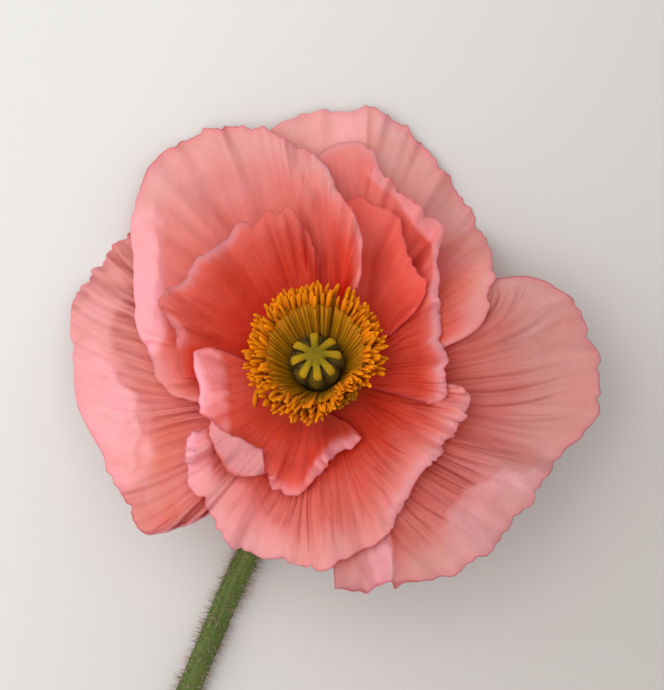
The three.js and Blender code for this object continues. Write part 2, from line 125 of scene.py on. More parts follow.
PETALS = [dict(
    PLAIN, name="outer_left", claw=[138, 230], arch=4.6, pleat=1.0, pleat_wide=3.7, pleat_out=1.25,
    swirl=11, dark=1.3, vein=0.4, heart=29, deep=0.62, glow=0.2, fade=5, border=0.7, tone=0.89, peach=0.9,
    stray=4,
    rim=[
        [132, 42, 1, 0], [140, 45.5, -3, 0], [147, 47.5, -4.4, 0], [156, 49, -4, 0.5], [163, 50, -2, 0.6],
        [170, 48.5, 0, 0.8], [177, 47.6, 2, 1], [185, 46, 3, 1], [193, 44, 3, 1], [201, 42.4, 3, 1],
        [212, 41.9, 3, 0.5], [222, 41.5, 3, 0], [226.5, 36.9, 3, 0], [231, 31, 3, 0],
    ],
    folds=[[205, 30, 2.5, 9, 25, 1.3], [168, 33, 2, 7, -20, 1.0], [190, 38, 1.6, 5, 30, 0.8]],
    lips=[[146, 154, 180, 188, 1.4, -80, 0.2], [219, 224, 230, 235, 2.4, 130, 0]],
    smooth=[
        [157, 44, 5, 0.2, 0.35], [167, 45, 4.4, 0.4, 0.5], [173, 44.5, 5, 0.5, 0.75],
        [181, 42.5, 5.4, 0.5, 0.85], [189, 40, 6, 0.5, 0.85], [197, 38, 6, 0.4, 0.7],
        [203, 38.5, 4.5, 0.3, 0.55],
    ],
    creases=[
        [208, 43, 205, 36.5, 1.3, 6, 0.5, 0.3], [205, 36.3, 191.3, 33.5, 1.3, 6, 0.8, 0.3],
        [191.3, 33.5, 182.7, 36.7, 1.3, 6, 0.8, 0.3], [182.7, 36.7, 174, 40.5, 1.3, 6, 0.6, 0.2],
        [229, 36, 209, 38.5, 1, 7, 0, -0.4],
    ],
), dict(
    PLAIN, name="outer_right", claw=[-86, 24], arch=4.6, ruffle=0.9, pleat=0.32, pleat_wide=5.2,
    pleat_out=1.02, swirl=-10, dark=0.5, vein=0.9, heart=26, deep=1, glow=0.15, border=0.6, tone=0.775,
    peach=0.55, stray=3,
    rim=[
        [-86, 37, 3, 0], [-80, 38.3, 2, 0], [-74, 38, 2, 0], [-69, 38.8, 2, 0], [-61, 40.4, 2, 0.5],
        [-51, 42.3, 2, 0.8], [-42, 42.9, 2, 0.8], [-34, 43.2, 2, 0.8], [-26, 43.9, 2, 0.5], [-16, 46, 2, 0],
        [-10.7, 49.7, 2, 0.5], [-2.3, 51.1, 2, 0.8], [3.8, 51, 2, 0.8], [12.4, 50, 3, 0.8],
        [20.2, 47.4, 3, 0.5], [25.6, 43.3, 3, 0], [30, 36, 3, 0],
    ],
    folds=[[-34, 37, 5, 2.2, -20, 0.8], [-79, 34, 1.6, 6, 0, 0.8]],
    lips=[[-86, -82, -70, -62, 2.6, 80, 0.2], [-24, -16, 4, 12, 0.8, -60, 0]],
    smooth=[
        [-31, 38.5, 5.2, 0.8, 0.25], [-41, 37.8, 5.6, 0.8, 0.25], [-51, 38, 5, 0.6, 0.2],
        [-74, 35, 4.4, 0.4, 0.5],
    ],
    creases=[
        [-22.5, 42.4, -27.1, 36.4, 1.5, 5, 0.6, 0.25], [-27.1, 36.4, -37.1, 33.2, 1.5, 5, 0.9, 0.25],
        [-37.1, 33.2, -50.5, 33.7, 1.5, 5, 0.7, 0.2], [-69.6, 39, -67.5, 29.5, 1.2, 4.5, 1.4, 0.7],
    ],
), dict(
    PLAIN, name="outer_upper_right", claw=[22, 108], arch=4.6, bend=1.2, ruffle=0.5, pleat=0.22, dark=0.25,
    vein=0.1, heart=28, deep=1, glow=0.09, border=0.5, tone=0.92, peach=0.8, stray=0.5,
    rim=[
        [11, 18, 0, 0], [15.5, 24.5, -1, 0], [17.2, 28.2, -2.5, 0], [19.6, 31.4, -4, 0],
        [24, 34.2, -5.5, 0], [27, 34.8, -6.6, 0], [28.9, 35.6, -7.4, 0], [30.3, 37.3, -8, 0],
        [33, 38.4, -9, 0.3], [38, 40.5, -9.3, 0.3], [46, 42.8, -8, 0.5], [56, 45.4, -4, 0.5],
        [64.4, 48.2, 0, 0.5], [72.7, 51.3, 3, 0.5], [80, 53, 5, 0.5], [86, 52, 6, 0.5],
        [94.7, 51, 5.5, 0.3], [101.5, 49, 5, 0], [110, 44, 4, 0],
    ],
    folds=[[60, 40, 2.2, 8, 0, 0.8]],
    lips=[[80, 88, 96, 104, 1.4, -70, 0.2]],
    smooth=[[87, 48, 6.5, 0.5, 0.4]],
    creases=[[77, 39, 80.1, 51.5, 1, 4.5, 0.9, 0.4]],
), dict(
    PLAIN, name="lower", claw=[214, 350], arch=2, bend=1.1, roll_wide=6, pleat=0.36, pleat_wide=4.6,
    pleat_out=1.0, dark=0.9, vein=0.95, heart=24, deep=0.86, glow=0.1, border=0.6, tone=0.91, peach=0.3,
    rim=[
        [203, 25, 10, 0], [211, 27.8, 10, 1], [219, 30.1, 8, 1.5], [226, 30.2, 7, 1.5], [233, 31.6, 5, 1],
        [243, 33.8, 4, 0.8], [251, 33.9, 3, 0.8], [259, 32.9, 3, 0.8], [264, 33.3, 3, 0.8],
        [270, 33.6, 3, 0.8], [278, 32.1, 3, 0.8], [283, 31.7, 3, 0.8], [292.5, 29.9, 5, 0.8],
        [302.4, 26.5, 6, 1], [319, 24.6, 8, 1.2], [332, 25.1, 9, 1.2], [342, 25.8, 10, 1],
        [353, 27, 10, 0.5], [358, 24, 9, 0],
    ],
    folds=[[300, 22, 2.6, 6, 0, 0.8]],
    lips=[
        [200, 206, 214, 222, 2, -50, 0.6], [230, 238, 258, 268, 1.4, -60, 0.15],
        [286, 300, 350, 356, 1.8, -48, 0.4],
    ],
    smooth=[
        [209, 25, 2.8, 0.3, 0.8], [217, 27.6, 2.8, 0.3, 0.7], [232, 28, 5, 0.4, 0.3],
        [242, 29.5, 5, 0.4, 0.3], [252, 31, 4, 0.3, 0.2],
    ],
), dict(
    PLAIN, name="inner_right", claw=[-8, 88], bend=1.2, roll_wide=5, pleat=0.24, pleat_wide=4.6, dark=0.6,
    vein=0.5, heart=30, deep=0.84, glow=0.4, fade=5, border=0.75, tone=0.93, peach=0.2, stray=0.8,
    rim=[
        [-12, 20, 8, 0], [-7, 22.5, 8, 1], [2, 22.5, 9, 2], [13, 22.9, 10, 2], [26, 24.3, 11, 2],
        [37, 26.7, 12, 2], [45, 30.2, 12, 2], [48, 32.9, 12, 3], [52, 37.6, 9, 2], [57.5, 36.5, 10, 1],
        [67, 38.2, 9, 1], [75, 41.6, 8, 1], [78, 45.5, 8, 1], [84.3, 45.4, 8, 1], [89.8, 42.6, 8, 0.5],
        [96, 36, 7, 0],
    ],
    lips=[
        [-12, -6, 40, 47, 1.7, -50, 0.6], [47, 50, 57, 62, 1.6, -50, 0.1], [70, 78, 88, 94, 1.8, -60, 0.35],
    ],
    smooth=[[53, 34.8, 3.2, 0.2, 0]],
    creases=[
        [76.6, 39, 68.2, 36.8, 1.3, 3, 0.5, 0.3], [68.2, 36.8, 59.8, 33.4, 1.3, 3.5, 0.9, 0.35],
        [59.8, 33.4, 50.5, 31.9, 1.3, 4, 1.1, 0.35], [50.5, 31.9, 38, 26.4, 1.2, 3, 0.7, 0.5],
    ],
), dict(
    PLAIN, name="inner_upper", claw=[40, 82], bend=1.2, roll_wide=5, ruffle=0.8, pleat=0.08, dark=0.3,
    vein=0.08, heart=30, deep=0.82, glow=0.5, fade=7, border=1, pale=0, tone=0.97, peach=0.15,
    rim=[
        [33, 15, 7, 0], [37, 21.4, 12, 0], [40.4, 24.9, 13, 0.5], [45.7, 26.4, 14, 0.8],
        [54.8, 27.6, 14, 1], [60.2, 30.3, 13.5, 1], [66, 33.7, 12, 1], [73, 34.1, 10.5, 1],
        [80, 33.7, 10, 0.5], [88, 29, 9, 0],
    ],
), dict(
    PLAIN, name="outer_upper_left", claw=[80, 182], arch=3, ruffle=0.9, pleat=0.2, pleat_wide=8, swirl=-6,
    dark=0.6, vein=0.08, heart=33, deep=0.95, glow=0.16, border=0.5, tone=0.925, peach=0.35, stray=1.5,
    rim=[
        [69, 18, 13, 0], [72, 23.4, 15, 0], [76.3, 28.8, 14.5, 0.2], [81.5, 32.4, 13.5, 0.3],
        [86.4, 36.2, 12, 0.3], [90, 41, 10, 0.5], [98.8, 45.8, 9, 0.4], [103.4, 49.2, 8, 0.4],
        [108, 50.6, 7, 0.6], [113, 52.2, 6, 0.8], [118.5, 53, 6, 0.8], [124.4, 52.8, 6, 0.6],
        [131, 51.6, 5, 0.5], [138, 49.2, 5, 1.5], [147.5, 43.6, 6, 3], [159.5, 38.4, 7, 4], [165, 36, 7, 3],
        [171, 32.6, 7, 1.5], [178, 30.6, 7, 1], [184, 28.4, 6, 0], [187.5, 25.4, 5.5, 0], [190.5, 21, 5, 0],
    ],
    folds=[[128, 40, 1.6, 9, -6, 0.7], [112, 44, 1.8, 7, 8, 0.6]],
    lips=[[130, 142, 172, 184, 2.2, -50, 0.3], [84, 87, 91, 94, 1.8, -70, 0.4]],
    smooth=[
        [138, 44.8, 3.2, 0.3, 0.5], [144, 41.6, 3.8, 0.5, 0.9], [149.5, 39.4, 4, 0.6, 1.2],
        [155, 37.2, 4, 0.6, 1.5], [161, 34.8, 3.8, 0.5, 1.2], [167, 32.4, 3, 0.3, 0.9],
        [122, 48, 4.5, 0.3, 0.3],
    ],
    creases=[
        [73, 13, 70, 22.5, 1, 5, 0, -0.6], [70, 22.5, 80.5, 34.5, 1, 5, 0, -0.6],
        [160.9, 32.9, 140.2, 40, 1.3, 4, 0.6, 0.3], [140.2, 40, 133.9, 46, 1.3, 4, 0.4, 0.2],
    ],
), dict(
    PLAIN, name="inner_left", claw=[96, 182], bend=1.15, roll_wide=4.5, pleat=0.1, dark=0.4, vein=0.16,
    heart=29.5, deep=1, glow=0.34, fade=3, border=0.9, pale=0, tone=0.86, peach=0.3,
    rim=[
        [91, 22, 15, 0], [94.5, 24.8, 16.5, 0.5], [96.3, 27.7, 17, 0.5], [99.3, 30.3, 18, 1],
        [101, 32.4, 18, 1.5], [103.6, 31.3, 18, 2], [106, 31.5, 18, 2], [108, 33, 18, 2],
        [110.6, 31.6, 18, 2], [114.5, 31.3, 18, 2], [117.5, 32.5, 18, 2], [121.3, 32, 18, 2.5],
        [131, 31.8, 17, 3], [139, 32, 16, 3.5], [147, 32.3, 15, 3.5], [151.5, 33.7, 14, 2.5],
        [155, 33, 14, 1.5], [158, 29.8, 13.5, 1], [162, 27.3, 12.5, 1], [168.5, 26.3, 11.5, 0.5],
        [180, 24.5, 10, 0],
    ],
    lips=[[113, 122, 148, 156, 2.2, -42, 0.5], [154, 158, 164, 170, 2, -60, 0.3]],
), dict(
    PLAIN, name="inner_front", claw=[176, 270], bend=1.1, roll_wide=5, pleat=0.16, dark=0.6, vein=0.3,
    heart=32, deep=0.76, glow=0.36, fade=3, border=0.85, pale=0, tone=0.96, peach=0.2,
    rim=[
        [164, 20, 11, 0], [168, 23.4, 12, 0.5], [183, 22.1, 13, 2], [199, 21.9, 13, 2.5],
        [209, 22.4, 13, 2.5], [218, 23, 12, 1], [227, 23.3, 11, 1], [234, 21.6, 11, 1], [241, 19.4, 12, 2],
        [247.6, 21.2, 10, 2.5], [258, 21.2, 9, 2], [264, 17.6, 12, 1.5], [273, 14.7, 13, 1.5],
        [286, 13.6, 12, 1.5], [300, 13.4, 9, 1], [305, 13, 8, 0],
    ],
    lips=[
        [166, 172, 192, 198, 1.6, -46, 0.7], [192, 226, 229, 242, 7.2, 160, 0],
        [242, 246, 256, 262, 1.4, -40, 0.4], [258, 266, 300, 306, 2.2, -48, 0.6],
    ],
    smooth=[
        [171, 21, 3, 0, 0.6], [180, 20.5, 3, 0.1, 0.65], [189, 20.3, 3, 0.1, 0.6], [198, 20.3, 2.6, 0, 0.5],
        [206, 20.5, 2.4, 0, 0.4],
    ],
)]

# Middle line of the stem from the receptacle, its broad top, to the cut end: x and y from the pole, z from
# the surface, and the radius there.
STEM_ROUTE = [
    [-0.3, 1.35, 22.7, 4.6], [-0.26, 1.2, 22.2, 5.7], [-0.16, 0.75, 20.9, 6.5], [-0.06, 0.27, 19.7, 6.3],
    [0.16, -0.75, 17.0, 3.8], [0.38, -1.8, 14.2, 3.2], [0.45, -2.9, 11.4, 2.5], [0.5, -4.6, 8.2, 2.1],
    [-0.6, -9.6, 4.6, 2.2], [-4.0, -17.5, 2.9, 2.3], [-9.5, -26.5, 2.7, 2.35], [-15.5, -37.0, 2.6, 2.35],
    [-25.5, -60.0, 2.4, 2.2], [-40.0, -91.0, 2.2, 2.05], [-55.5, -120.0, 2.1, 2.0],
    [-72.5, -149.0, 2.1, 2.0],
]
STEM_ROUND = 28  # corners of its grid round it
STEM_ROWS = 260  # and rows along it
STEM_HAIRS = 4200  # those whose root is too near the surface are left out
STEM_HAIRS_FROM = 14  # the first row of its grid that has hairs, just under the bloom
STEM_HAIR_LONG = [0.8, 2.5]
STEM_HAIR_RADIUS = 0.06
STEM_HAIR_CLEAR = 0.7  # the least height of a hair's straight end over the surface, before it bends

# Outline of the capsule: [radius, height along the bloom's axis from the pole].
CAPSULE = [
    [0, 3.2], [2.1, 3.2], [2.3, 4.8], [3.4, 7.2], [4.4, 9.4], [4.6, 11.2], [4.1, 12.8], [3.0, 13.7],
    [0, 13.9],
]
CAPSULE_GRID = [96, 56]
CAPSULE_RIBS = 8
CAPSULE_RIB_HIGH = 0.07  # as a share of the radius
CAPSULE_HAIRS = 420
CAPSULE_HAIR_LONG = [0.7, 1.3]
CAPSULE_HAIR_RADIUS = 0.07

STIGMA_RAYS = [95, 44, 2, -46, -84, -123, -168, 148]  # azimuth of each ray
STIGMA_REACH = 4.7  # length of a ray from the middle
STIGMA_TOP = 15.7  # height of the disc's top in the middle
STIGMA_HUB = [2.0, 0.55]  # radius and half height of the hub that joins the rays
STIGMA_VOXEL = 0.12  # size of the cells in which they become one body
HUB_GRID = [32, 12]
RAY_GRID = [20, 24]
RAY_HALF_WIDE = 0.52  # at its root
RAY_WIDENS = 0.34  # by how much more at its end
RAY_HALF_HIGH = 0.62
RAY_BLUNT = 0.14  # share of its length in which its end is rounded off
RAY_DROOP = 1.6  # how far its end hangs below its root

STAMEN_ROWS = 5
STAMENS_IN_ROW = 60
FILAMENT_ROOTS = [3.3, 5.5]  # distance from the axis, of the inner and the outer row
FILAMENT_START = 5.2  # height of the roots
ANTHER_RING = [9.8, 12.3]  # distance from the axis, of the inner and the outer row
ANTHER_HEIGHT = [15.9, 13.6]  # height, of the inner and the outer row
ANTHER_SIZE = [0.46, 0.36, 1.45]  # half width, half depth, half length
FILAMENT_SIZE = [0.4, 0.1]  # half width and half thickness
LOOSE_AT = [198.0, 12.6]  # azimuth and distance from the pole of an anther that has dropped onto a petal
FALLEN_AT = [308, 24]  # azimuth and half width of the clump that has fallen in
GAP_AT = [67, 74]  # azimuths with no stamens
BARE_THREADS = 46
CUP_THREADS = 280
CUP_RIM = [9.5, 14.9]  # distance from the axis and height at which the innermost threads end
CUP_STRAY = [0.1, 0.25]  # how far each of these goes astray
BARE_RING = [8.4, 9.8]  # least and most distance from the axis at which the bare threads end
BARE_HEIGHT = [9.6, 10.6]
ANTHER_STRAY = [0.4, 0.5]  # how far an anther goes astray in distance and in height


# Hairs and stamens draw their chances from this, in the order of the script.
rng = np.random.default_rng(7)


# ---- numbers ----

def shuffled(seed):
    """A number from 0 to 1 that repeats for the same seed, for phases that look random."""
    return (seed * 0.6180339887 + 0.37) % 1


def rounded_max(a, b, soft):
    """The larger of two heights, with the crossing rounded off, and never below either."""
    return (a + b + np.hypot(a - b, soft)) / 2


def smooth_step(low, high, value):
    """0 below `low`, 1 above `high` and an eased rise between."""
    t = np.clip((value - low) / (high - low), 0, 1)
    return t * t * (3 - 2 * t)


def lattice(i, j, seed):
    """A random-looking number from 0 to 1 for each whole place (i, j)."""
    mixed = np.sin(i * 127.1 + j * 311.7 + seed * 74.7) * 43758.5453
    return mixed - np.floor(mixed)


def drift(x, y, seed):
    """Soft noise from 0 to 1, one bump or hollow for each whole step of x and y. The seed picks which."""
    i, j = np.floor(x), np.floor(y)
    a, b = x - i, y - j
    a, b = a * a * (3 - 2 * a), b * b * (3 - 2 * b)
    low = lattice(i, j, seed) * (1 - a) + lattice(i + 1, j, seed) * a
    high = lattice(i, j + 1, seed) * (1 - a) + lattice(i + 1, j + 1, seed) * a
    return low * (1 - b) + high * b


# ---- petals: the same stack of heights as the solids, with finer frills ----

SLOPE_OF_PLANE = math.tan(math.radians(BLOOM_TILT))


def along_rim(rim, column, azimuth):
    """A value of the rim's points at azimuths, on a smooth curve through them."""
    at = np.array([point[0] for point in rim], float)
    value = np.array([point[column] for point in rim], float)
    before = np.r_[0, np.arange(len(at) - 1)]
    after = np.r_[np.arange(1, len(at)), len(at) - 1]
    slope = (value[after] - value[before]) / (at[after] - at[before])
    x = np.clip(azimuth, at[0], at[-1])
    i = np.clip(np.searchsorted(at, x) - 1, 0, len(at) - 2)
    step = at[i + 1] - at[i]
    t = (x - at[i]) / step
    ease_out = (1 + 2 * t) * (1 - t) ** 2
    ease_in = t * t * (3 - 2 * t)
    bow = step * t * (1 - t) * ((1 - t) * slope[i] - t * slope[i + 1])
    return ease_out * value[i] + ease_in * value[i + 1] + bow


def waves(order, lengths, heights, arc):
    """Sum of waves along the rim, each with its own phase."""
    return sum(
        high * np.sin(2 * math.pi * (arc / length + shuffled(7 * order + k + 1)))
        for k, (length, high) in enumerate(zip(lengths, heights))
    )


def span_of(petal, share):
    """First and last azimuth of a petal at a share of its length, 0 at the claw and 1 at the rim."""
    spread = 1 - (1 - share) ** 2
    first, last = petal["rim"][0][0], petal["rim"][-1][0]
    start, end = petal["claw"]
    return start + (first - start) * spread, end + (last - end) * spread


def smooth_of(petal, distance, azimuth):
    """Height and paleness of a petal's smooth places, and how far a place lies in one, from 0 to 1."""
    weight, height, pale = (np.full_like(distance, 1e-9) for _ in range(3))
    # Their paleness is partly paler tissue and partly a painted highlight.
    for at, out, radius, high, paleness in petal["smooth"]:
        away = np.hypot(np.radians(azimuth - at) * out, distance - out) / radius
        near = np.exp(-1.1 * away ** 2)
        weight, height, pale = weight + near, height + near * high, pale + near * paleness
    ragged = 0.22 * (drift(azimuth / 3.5, distance / 2.5, 61) - 0.5)
    inside = smooth_step(0.2, 0.8, weight + ragged * np.minimum(weight / 0.3, 1))
    return inside * height / weight, inside * pale / weight, inside


def creases_of(petal, distance, azimuth):
    """Height of a petal's sharp crests, and how much paler the colour is beside them, a painted highlight,
    or deeper if negative, a painted shade."""
    height, pale = np.zeros_like(distance), np.zeros_like(distance)
    place = distance * np.exp(1j * np.radians(azimuth))
    for first, first_out, last, last_out, right_wide, left_wide, high, paleness in petal["creases"]:
        start = first_out * np.exp(1j * math.radians(first))
        end = last_out * np.exp(1j * math.radians(last))
        long = abs(end - start)
        turned = (place - start) * np.conj(end - start) / long
        ahead = smooth_step(-2.5, 1, turned.real) * (1 - smooth_step(long - 1, long + 2.5, turned.real))
        left = turned.imag + petal["stray"] * (drift(place.real / 3.3, place.imag / 3.3, 51) - 0.5)
        wide = np.where(left > 0, left_wide, right_wide)
        height = np.maximum(height, high * ahead * np.exp(-1.4 * np.abs(left) / wide))
        right_side = -0.7 * (paleness > 0) * np.exp(-((left / right_wide / 2.2) ** 2))
        crease_light_and_shade = np.where(left > 0, np.exp(-((left / left_wide) ** 2)), right_side)
        crease_light_and_shade = ahead * paleness * crease_light_and_shade * smooth_step(0, 0.35, np.abs(left))
        pale = np.where(np.abs(crease_light_and_shade) > np.abs(pale), crease_light_and_shade, pale)
    return height, pale


def fold_height(petal, distance, azimuth):
    """Height of a petal's own folds, each a soft hill with its own size and turn."""
    total = np.zeros_like(distance)
    for at, out, half_across, half_out, turn, high in petal["folds"]:
        across = np.radians(azimuth - at) * out
        outward = distance - out
        c, s = math.cos(math.radians(turn)), math.sin(math.radians(turn))
        a, b = across * c + outward * s, outward * c - across * s
        total = total + high * np.exp(-((a / half_across) ** 2) - (b / half_out) ** 2)
    return total + smooth_of(petal, distance, azimuth)[0] + creases_of(petal, distance, azimuth)[0]


def free_height(petal, order, distance, azimuth):
    """Height that a petal would take on its own, at distances and azimuths from the pole."""
    rim = petal["rim"]
    reach, lift, roll = (along_rim(rim, column, azimuth) for column in (1, 2, 3))
    share = distance / reach
    plane = -SLOPE_OF_PLANE * distance * np.cos(np.radians(azimuth - BLOOM_LEAN))
    out = np.minimum(distance / SPREAD, 1)
    arch = petal["arch"] * 6.75 * out * (1 - out) ** 2 - SEAT * (1 - out) ** 4
    rolled = np.maximum((distance - reach) / petal["roll_wide"] + 1, 0) ** 2
    arc = np.radians(azimuth) * reach
    ruffle = waves(order, RUFFLE_WAVES, RUFFLE_HIGH, arc) * np.minimum(share, 1.1) ** 3 * petal["ruffle"]
    frill = waves(order + 40, FRILL_WAVES, FRILL_HIGH, arc) * np.minimum(share, 1.05) ** 9
    height = POLE[2] + plane + lift * share ** petal["bend"] + arch - roll * rolled + ruffle + frill
    return height + fold_height(petal, distance, azimuth)


def past_edge(petal, distance, azimuth):
    """How far past a petal's edge a place lies, 0 on the petal."""
    reach = along_rim(petal["rim"], 1, azimuth)
    share = np.clip((distance - CLAW) / (reach - CLAW), 0, 1)
    first, last = span_of(petal, share)
    aside = distance * np.radians(np.maximum(np.maximum(first - azimuth, azimuth - last), 0))
    return np.hypot(np.maximum(distance - reach, 0), aside)


def height_of(order, distance, azimuth):
    """Height of the middle of petal number `order`, laid over the surface and the petals before it."""
    pitch = LAYER_PITCH - (LAYER_PITCH - CLAW_PITCH) * np.maximum(1 - distance / PITCH_SPREAD, 0)
    below = SOLID_THICK / 2 + FLOOR_GAP - pitch
    for i, petal in enumerate(PETALS[:order + 1]):
        middle = sum(petal["claw"]) / 2
        turned = azimuth - 360 * np.round((azimuth - middle) / 360)
        height = rounded_max(free_height(petal, i, distance, turned), below + pitch, LAYER_SOFT)
        past = np.maximum(past_edge(petal, distance, turned) - EDGE_SOFT, 0)
        below = np.maximum(below, height - EDGE_FALL * past - EDGE_STEEPER * past * past)
    return height


def grooves(across):
    """Depth from 0 to 1 of grooves that run along a sheet, one for each whole step across it."""
    return (0.5 + 0.5 * np.cos(2 * math.pi * across)) ** 2


def fan_of(petal, order, azimuth, share):
    """Azimuths that swirl and wander on their way out, as the pleats and the veins do."""
    return azimuth + petal["swirl"] * share ** 1.5 + 7 * (drift(azimuth / 14, share * 2.1, order + 3) - 0.5)


def pleats_of(petal, order, azimuth, share):
    """Depth from 0 to 1 of the long creases that fan out over a petal and die away before the rim."""
    fan = fan_of(petal, order, azimuth, share) / petal["pleat_wide"]
    wide = grooves(fan + 1.1 * drift(fan / 2.5, share * 2.6, order + 11))
    fine = grooves(fan * 1.9 + 1.3 * drift(fan / 1.7, share * 3.3, order + 23))
    patches = smooth_step(0.2, 0.8, drift(azimuth / 13, share * 2.3, order + 37))
    ends = smooth_step(petal["pleat_out"] - 0.25, petal["pleat_out"], share)
    return (wide * 0.7 + fine * 0.4) * (0.3 + 0.8 * patches) * (smooth_step(0.1, 0.35, share) * (1 - ends))


def veined_of(order, azimuth, share):
    """How clearly the veins show, from 0 to 1: they fade into the claw and the rim, and come in patches."""
    fade = smooth_step(0.05, 0.3, share) * (1 - smooth_step(0.68, 1, share))
    return fade * (0.4 + 0.8 * smooth_step(0.25, 0.8, drift(azimuth / 9, share * 2.3, order + 67)))


def dents_of(x, y):
    """Height of the soft dents in the tissue, the same for all the petals that lie on each other."""
    broad = drift(x / DENT_WIDE, y / DENT_WIDE, 71)
    fine = drift(x * 2.3 / DENT_WIDE, y * 2.3 / DENT_WIDE, 72)
    return DENT_DEEP * (broad + 0.35 * fine - 0.67)


# ---- meshes ----

def metres(points):
    """Points in millimetres from the pole's foot on the surface, as metres in the flower's frame."""
    return (np.asarray(points, float) + [POLE[0], POLE[1], 0]) * MM


def leave_selected(*pieces):
    """Selects just these pieces, with the first one active."""
    bpy.ops.object.select_all(action="DESELECT")
    for piece in pieces:
        piece.select_set(True)
    bpy.context.view_layer.objects.active = pieces[0]


def corners_of(piece):
    """The places of a piece's corners, in metres."""
    flat = np.empty(3 * len(piece.data.vertices))
    piece.data.vertices.foreach_get("co", flat)
    return flat.reshape(-1, 3)


def move_corners(piece, places):
    piece.data.vertices.foreach_set("co", np.asarray(places, float).ravel())
    piece.data.update()


def paint(piece, name, values):
    """Stores one number for each corner of a piece, for its material to read."""
    layer = piece.data.attributes.new(name, "FLOAT", "POINT")
    layer.data.foreach_set("value", np.asarray(values, float).ravel())


def primitive(add, name, **size):
    """A new primitive, selected alone."""
    bpy.ops.object.select_all(action="DESELECT")
    add(**size)
    bpy.context.object.name = name
    return bpy.context.object


def sheet(name, columns, rows, place):
    """A grid whose corners move to place(across, along), in millimetres, where both run from 0 to 1."""
    add_grid = bpy.ops.mesh.primitive_grid_add
    piece = primitive(add_grid, name, x_subdivisions=columns, y_subdivisions=rows, size=1)
    flat = corners_of(piece)
    across, along = flat[:, 0] + 0.5, flat[:, 1] + 0.5
    move_corners(piece, metres(place(across, along)))
    return piece, across, along


def rolled_up(name, columns, rows, place):
    """A sheet rolled up into a closed body: corners that meet are merged and every face turned outward."""
    piece, _, _ = sheet(name, columns, rows, place)
    leave_selected(piece)
    bpy.ops.object.mode_set(mode="EDIT")
    bpy.ops.mesh.select_all(action="SELECT")
    bpy.ops.mesh.remove_doubles(threshold=SEAM_GAP * MM)
    bpy.ops.mesh.normals_make_consistent(inside=False)
    bpy.ops.object.mode_set(mode="OBJECT")
    return piece


def apply_modifier(piece, kind, **settings):
    leave_selected(piece)
    modifier = piece.modifiers.new(kind.title(), kind)
    for setting, value in settings.items():
        setattr(modifier, setting, value)
    bpy.ops.object.modifier_apply(modifier=modifier.name)


def finish_piece(piece, material, slot, *nodes):
    """Smooth shading, material, and the place in the model of a finished piece."""
    for polygon in piece.data.polygons:
        polygon.use_smooth = True
    piece.data.materials.clear()
    piece.data.materials.append(material)
    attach(piece, "root")
    if nodes:
        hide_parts(*nodes)


def place_object(name, data):
    """A new object in the scene that shows a mesh, a lamp or a camera."""
    piece = bpy.data.objects.new(name, data)
    bpy.context.scene.collection.objects.link(piece)
    return piece


def copies(name, model, places):
    """One mesh with a copy of a small model at each place, a 4x4 matrix in millimetres. Each copy is painted
    with a random shade from 0 to 1."""
    corners = corners_of(model)
    along = corners[:, 2]
    along = (along - along.min()) / (along.max() - along.min())
    faces = [tuple(p.vertices) for p in model.data.polygons]
    count = len(corners)
    every = np.concatenate([corners @ np.array(m)[:3, :3].T + np.array(m)[:3, 3] for m in places])
    mesh = bpy.data.meshes.new(name)
    mesh.from_pydata(
        metres(every), [], [tuple(count * n + i for i in face) for n in range(len(places)) for face in faces]
    )
    bpy.data.objects.remove(model)
    piece = place_object(name, mesh)
    paint(piece, "along", np.tile(along, len(places)))
    paint(piece, "shade", np.repeat(rng.uniform(0, 1, len(places)), count))
    return piece


def strand(add, cuts, bow, **size):
    """A model of one hair or thread of unit length, cut across and bent by bow(height) toward +Y."""
    piece = primitive(add, "strand", depth=1, **size)
    bpy.ops.object.mode_set(mode="EDIT")
    for cut in cuts:
        bpy.ops.mesh.select_all(action="SELECT")
        bpy.ops.mesh.bisect(plane_co=(0, 0, cut), plane_no=(0, 0, 1))
    bpy.ops.object.mode_set(mode="OBJECT")
    corners = corners_of(piece) + [0, 0, 0.5]
    corners[:, 1] += bow(corners[:, 2])
    move_corners(piece, corners)
    return piece


def hair_model(radius):
    """One hair: a long three-sided cone, bent a little."""
    return strand(bpy.ops.mesh.primitive_cone_add, [0], lambda height: 0.25 * height ** 2,
                  vertices=3, radius1=radius, radius2=radius * 0.25)


def facing(place, direction, up, size):
    """A matrix that puts a model at a place with its +Z along `direction` and its +Y toward `up`, sized."""
    z = Vector(direction).normalized()
    x = Vector(up).cross(z).normalized()
    y = z.cross(x)
    turn = Matrix((x, y, z)).transposed().to_4x4()
    return Matrix.Translation(Vector(place)) @ turn @ Matrix.Diagonal((*size, 1))


# ---- the bloom's axis ----

lean_x, lean_y = math.cos(math.radians(BLOOM_LEAN)), math.sin(math.radians(BLOOM_LEAN))
AXIS_TURN = np.array(Matrix.Rotation(math.radians(BLOOM_TILT), 3, (-lean_y, lean_x, 0)))
BLOOM_AXIS = AXIS_TURN[:, 2]
foot_at = -AXIS_CROSSES * SLOPE_OF_PLANE
AXIS_FOOT = np.array([foot_at * lean_x, foot_at * lean_y, POLE[2]])


def around(angle, ahead, aside, height):
    """Points at a distance ahead and aside from the middle, where `angle` is straight ahead."""
    x = ahead * np.cos(angle) - aside * np.sin(angle)
    y = ahead * np.sin(angle) + aside * np.cos(angle)
    return np.stack([x, y, height], axis=1)


def on_axis(points):
    """Points shaped round an upright axis at the pole, leaned over with the bloom."""
    return np.asarray(points, float) @ AXIS_TURN.T + AXIS_FOOT


def off_axis(piece):
    """A piece's corners in millimetres round the upright axis, before they were leaned over."""
    return (corners_of(piece) / MM - [POLE[0], POLE[1], 0] - AXIS_FOOT) @ AXIS_TURN


# ---- materials ----

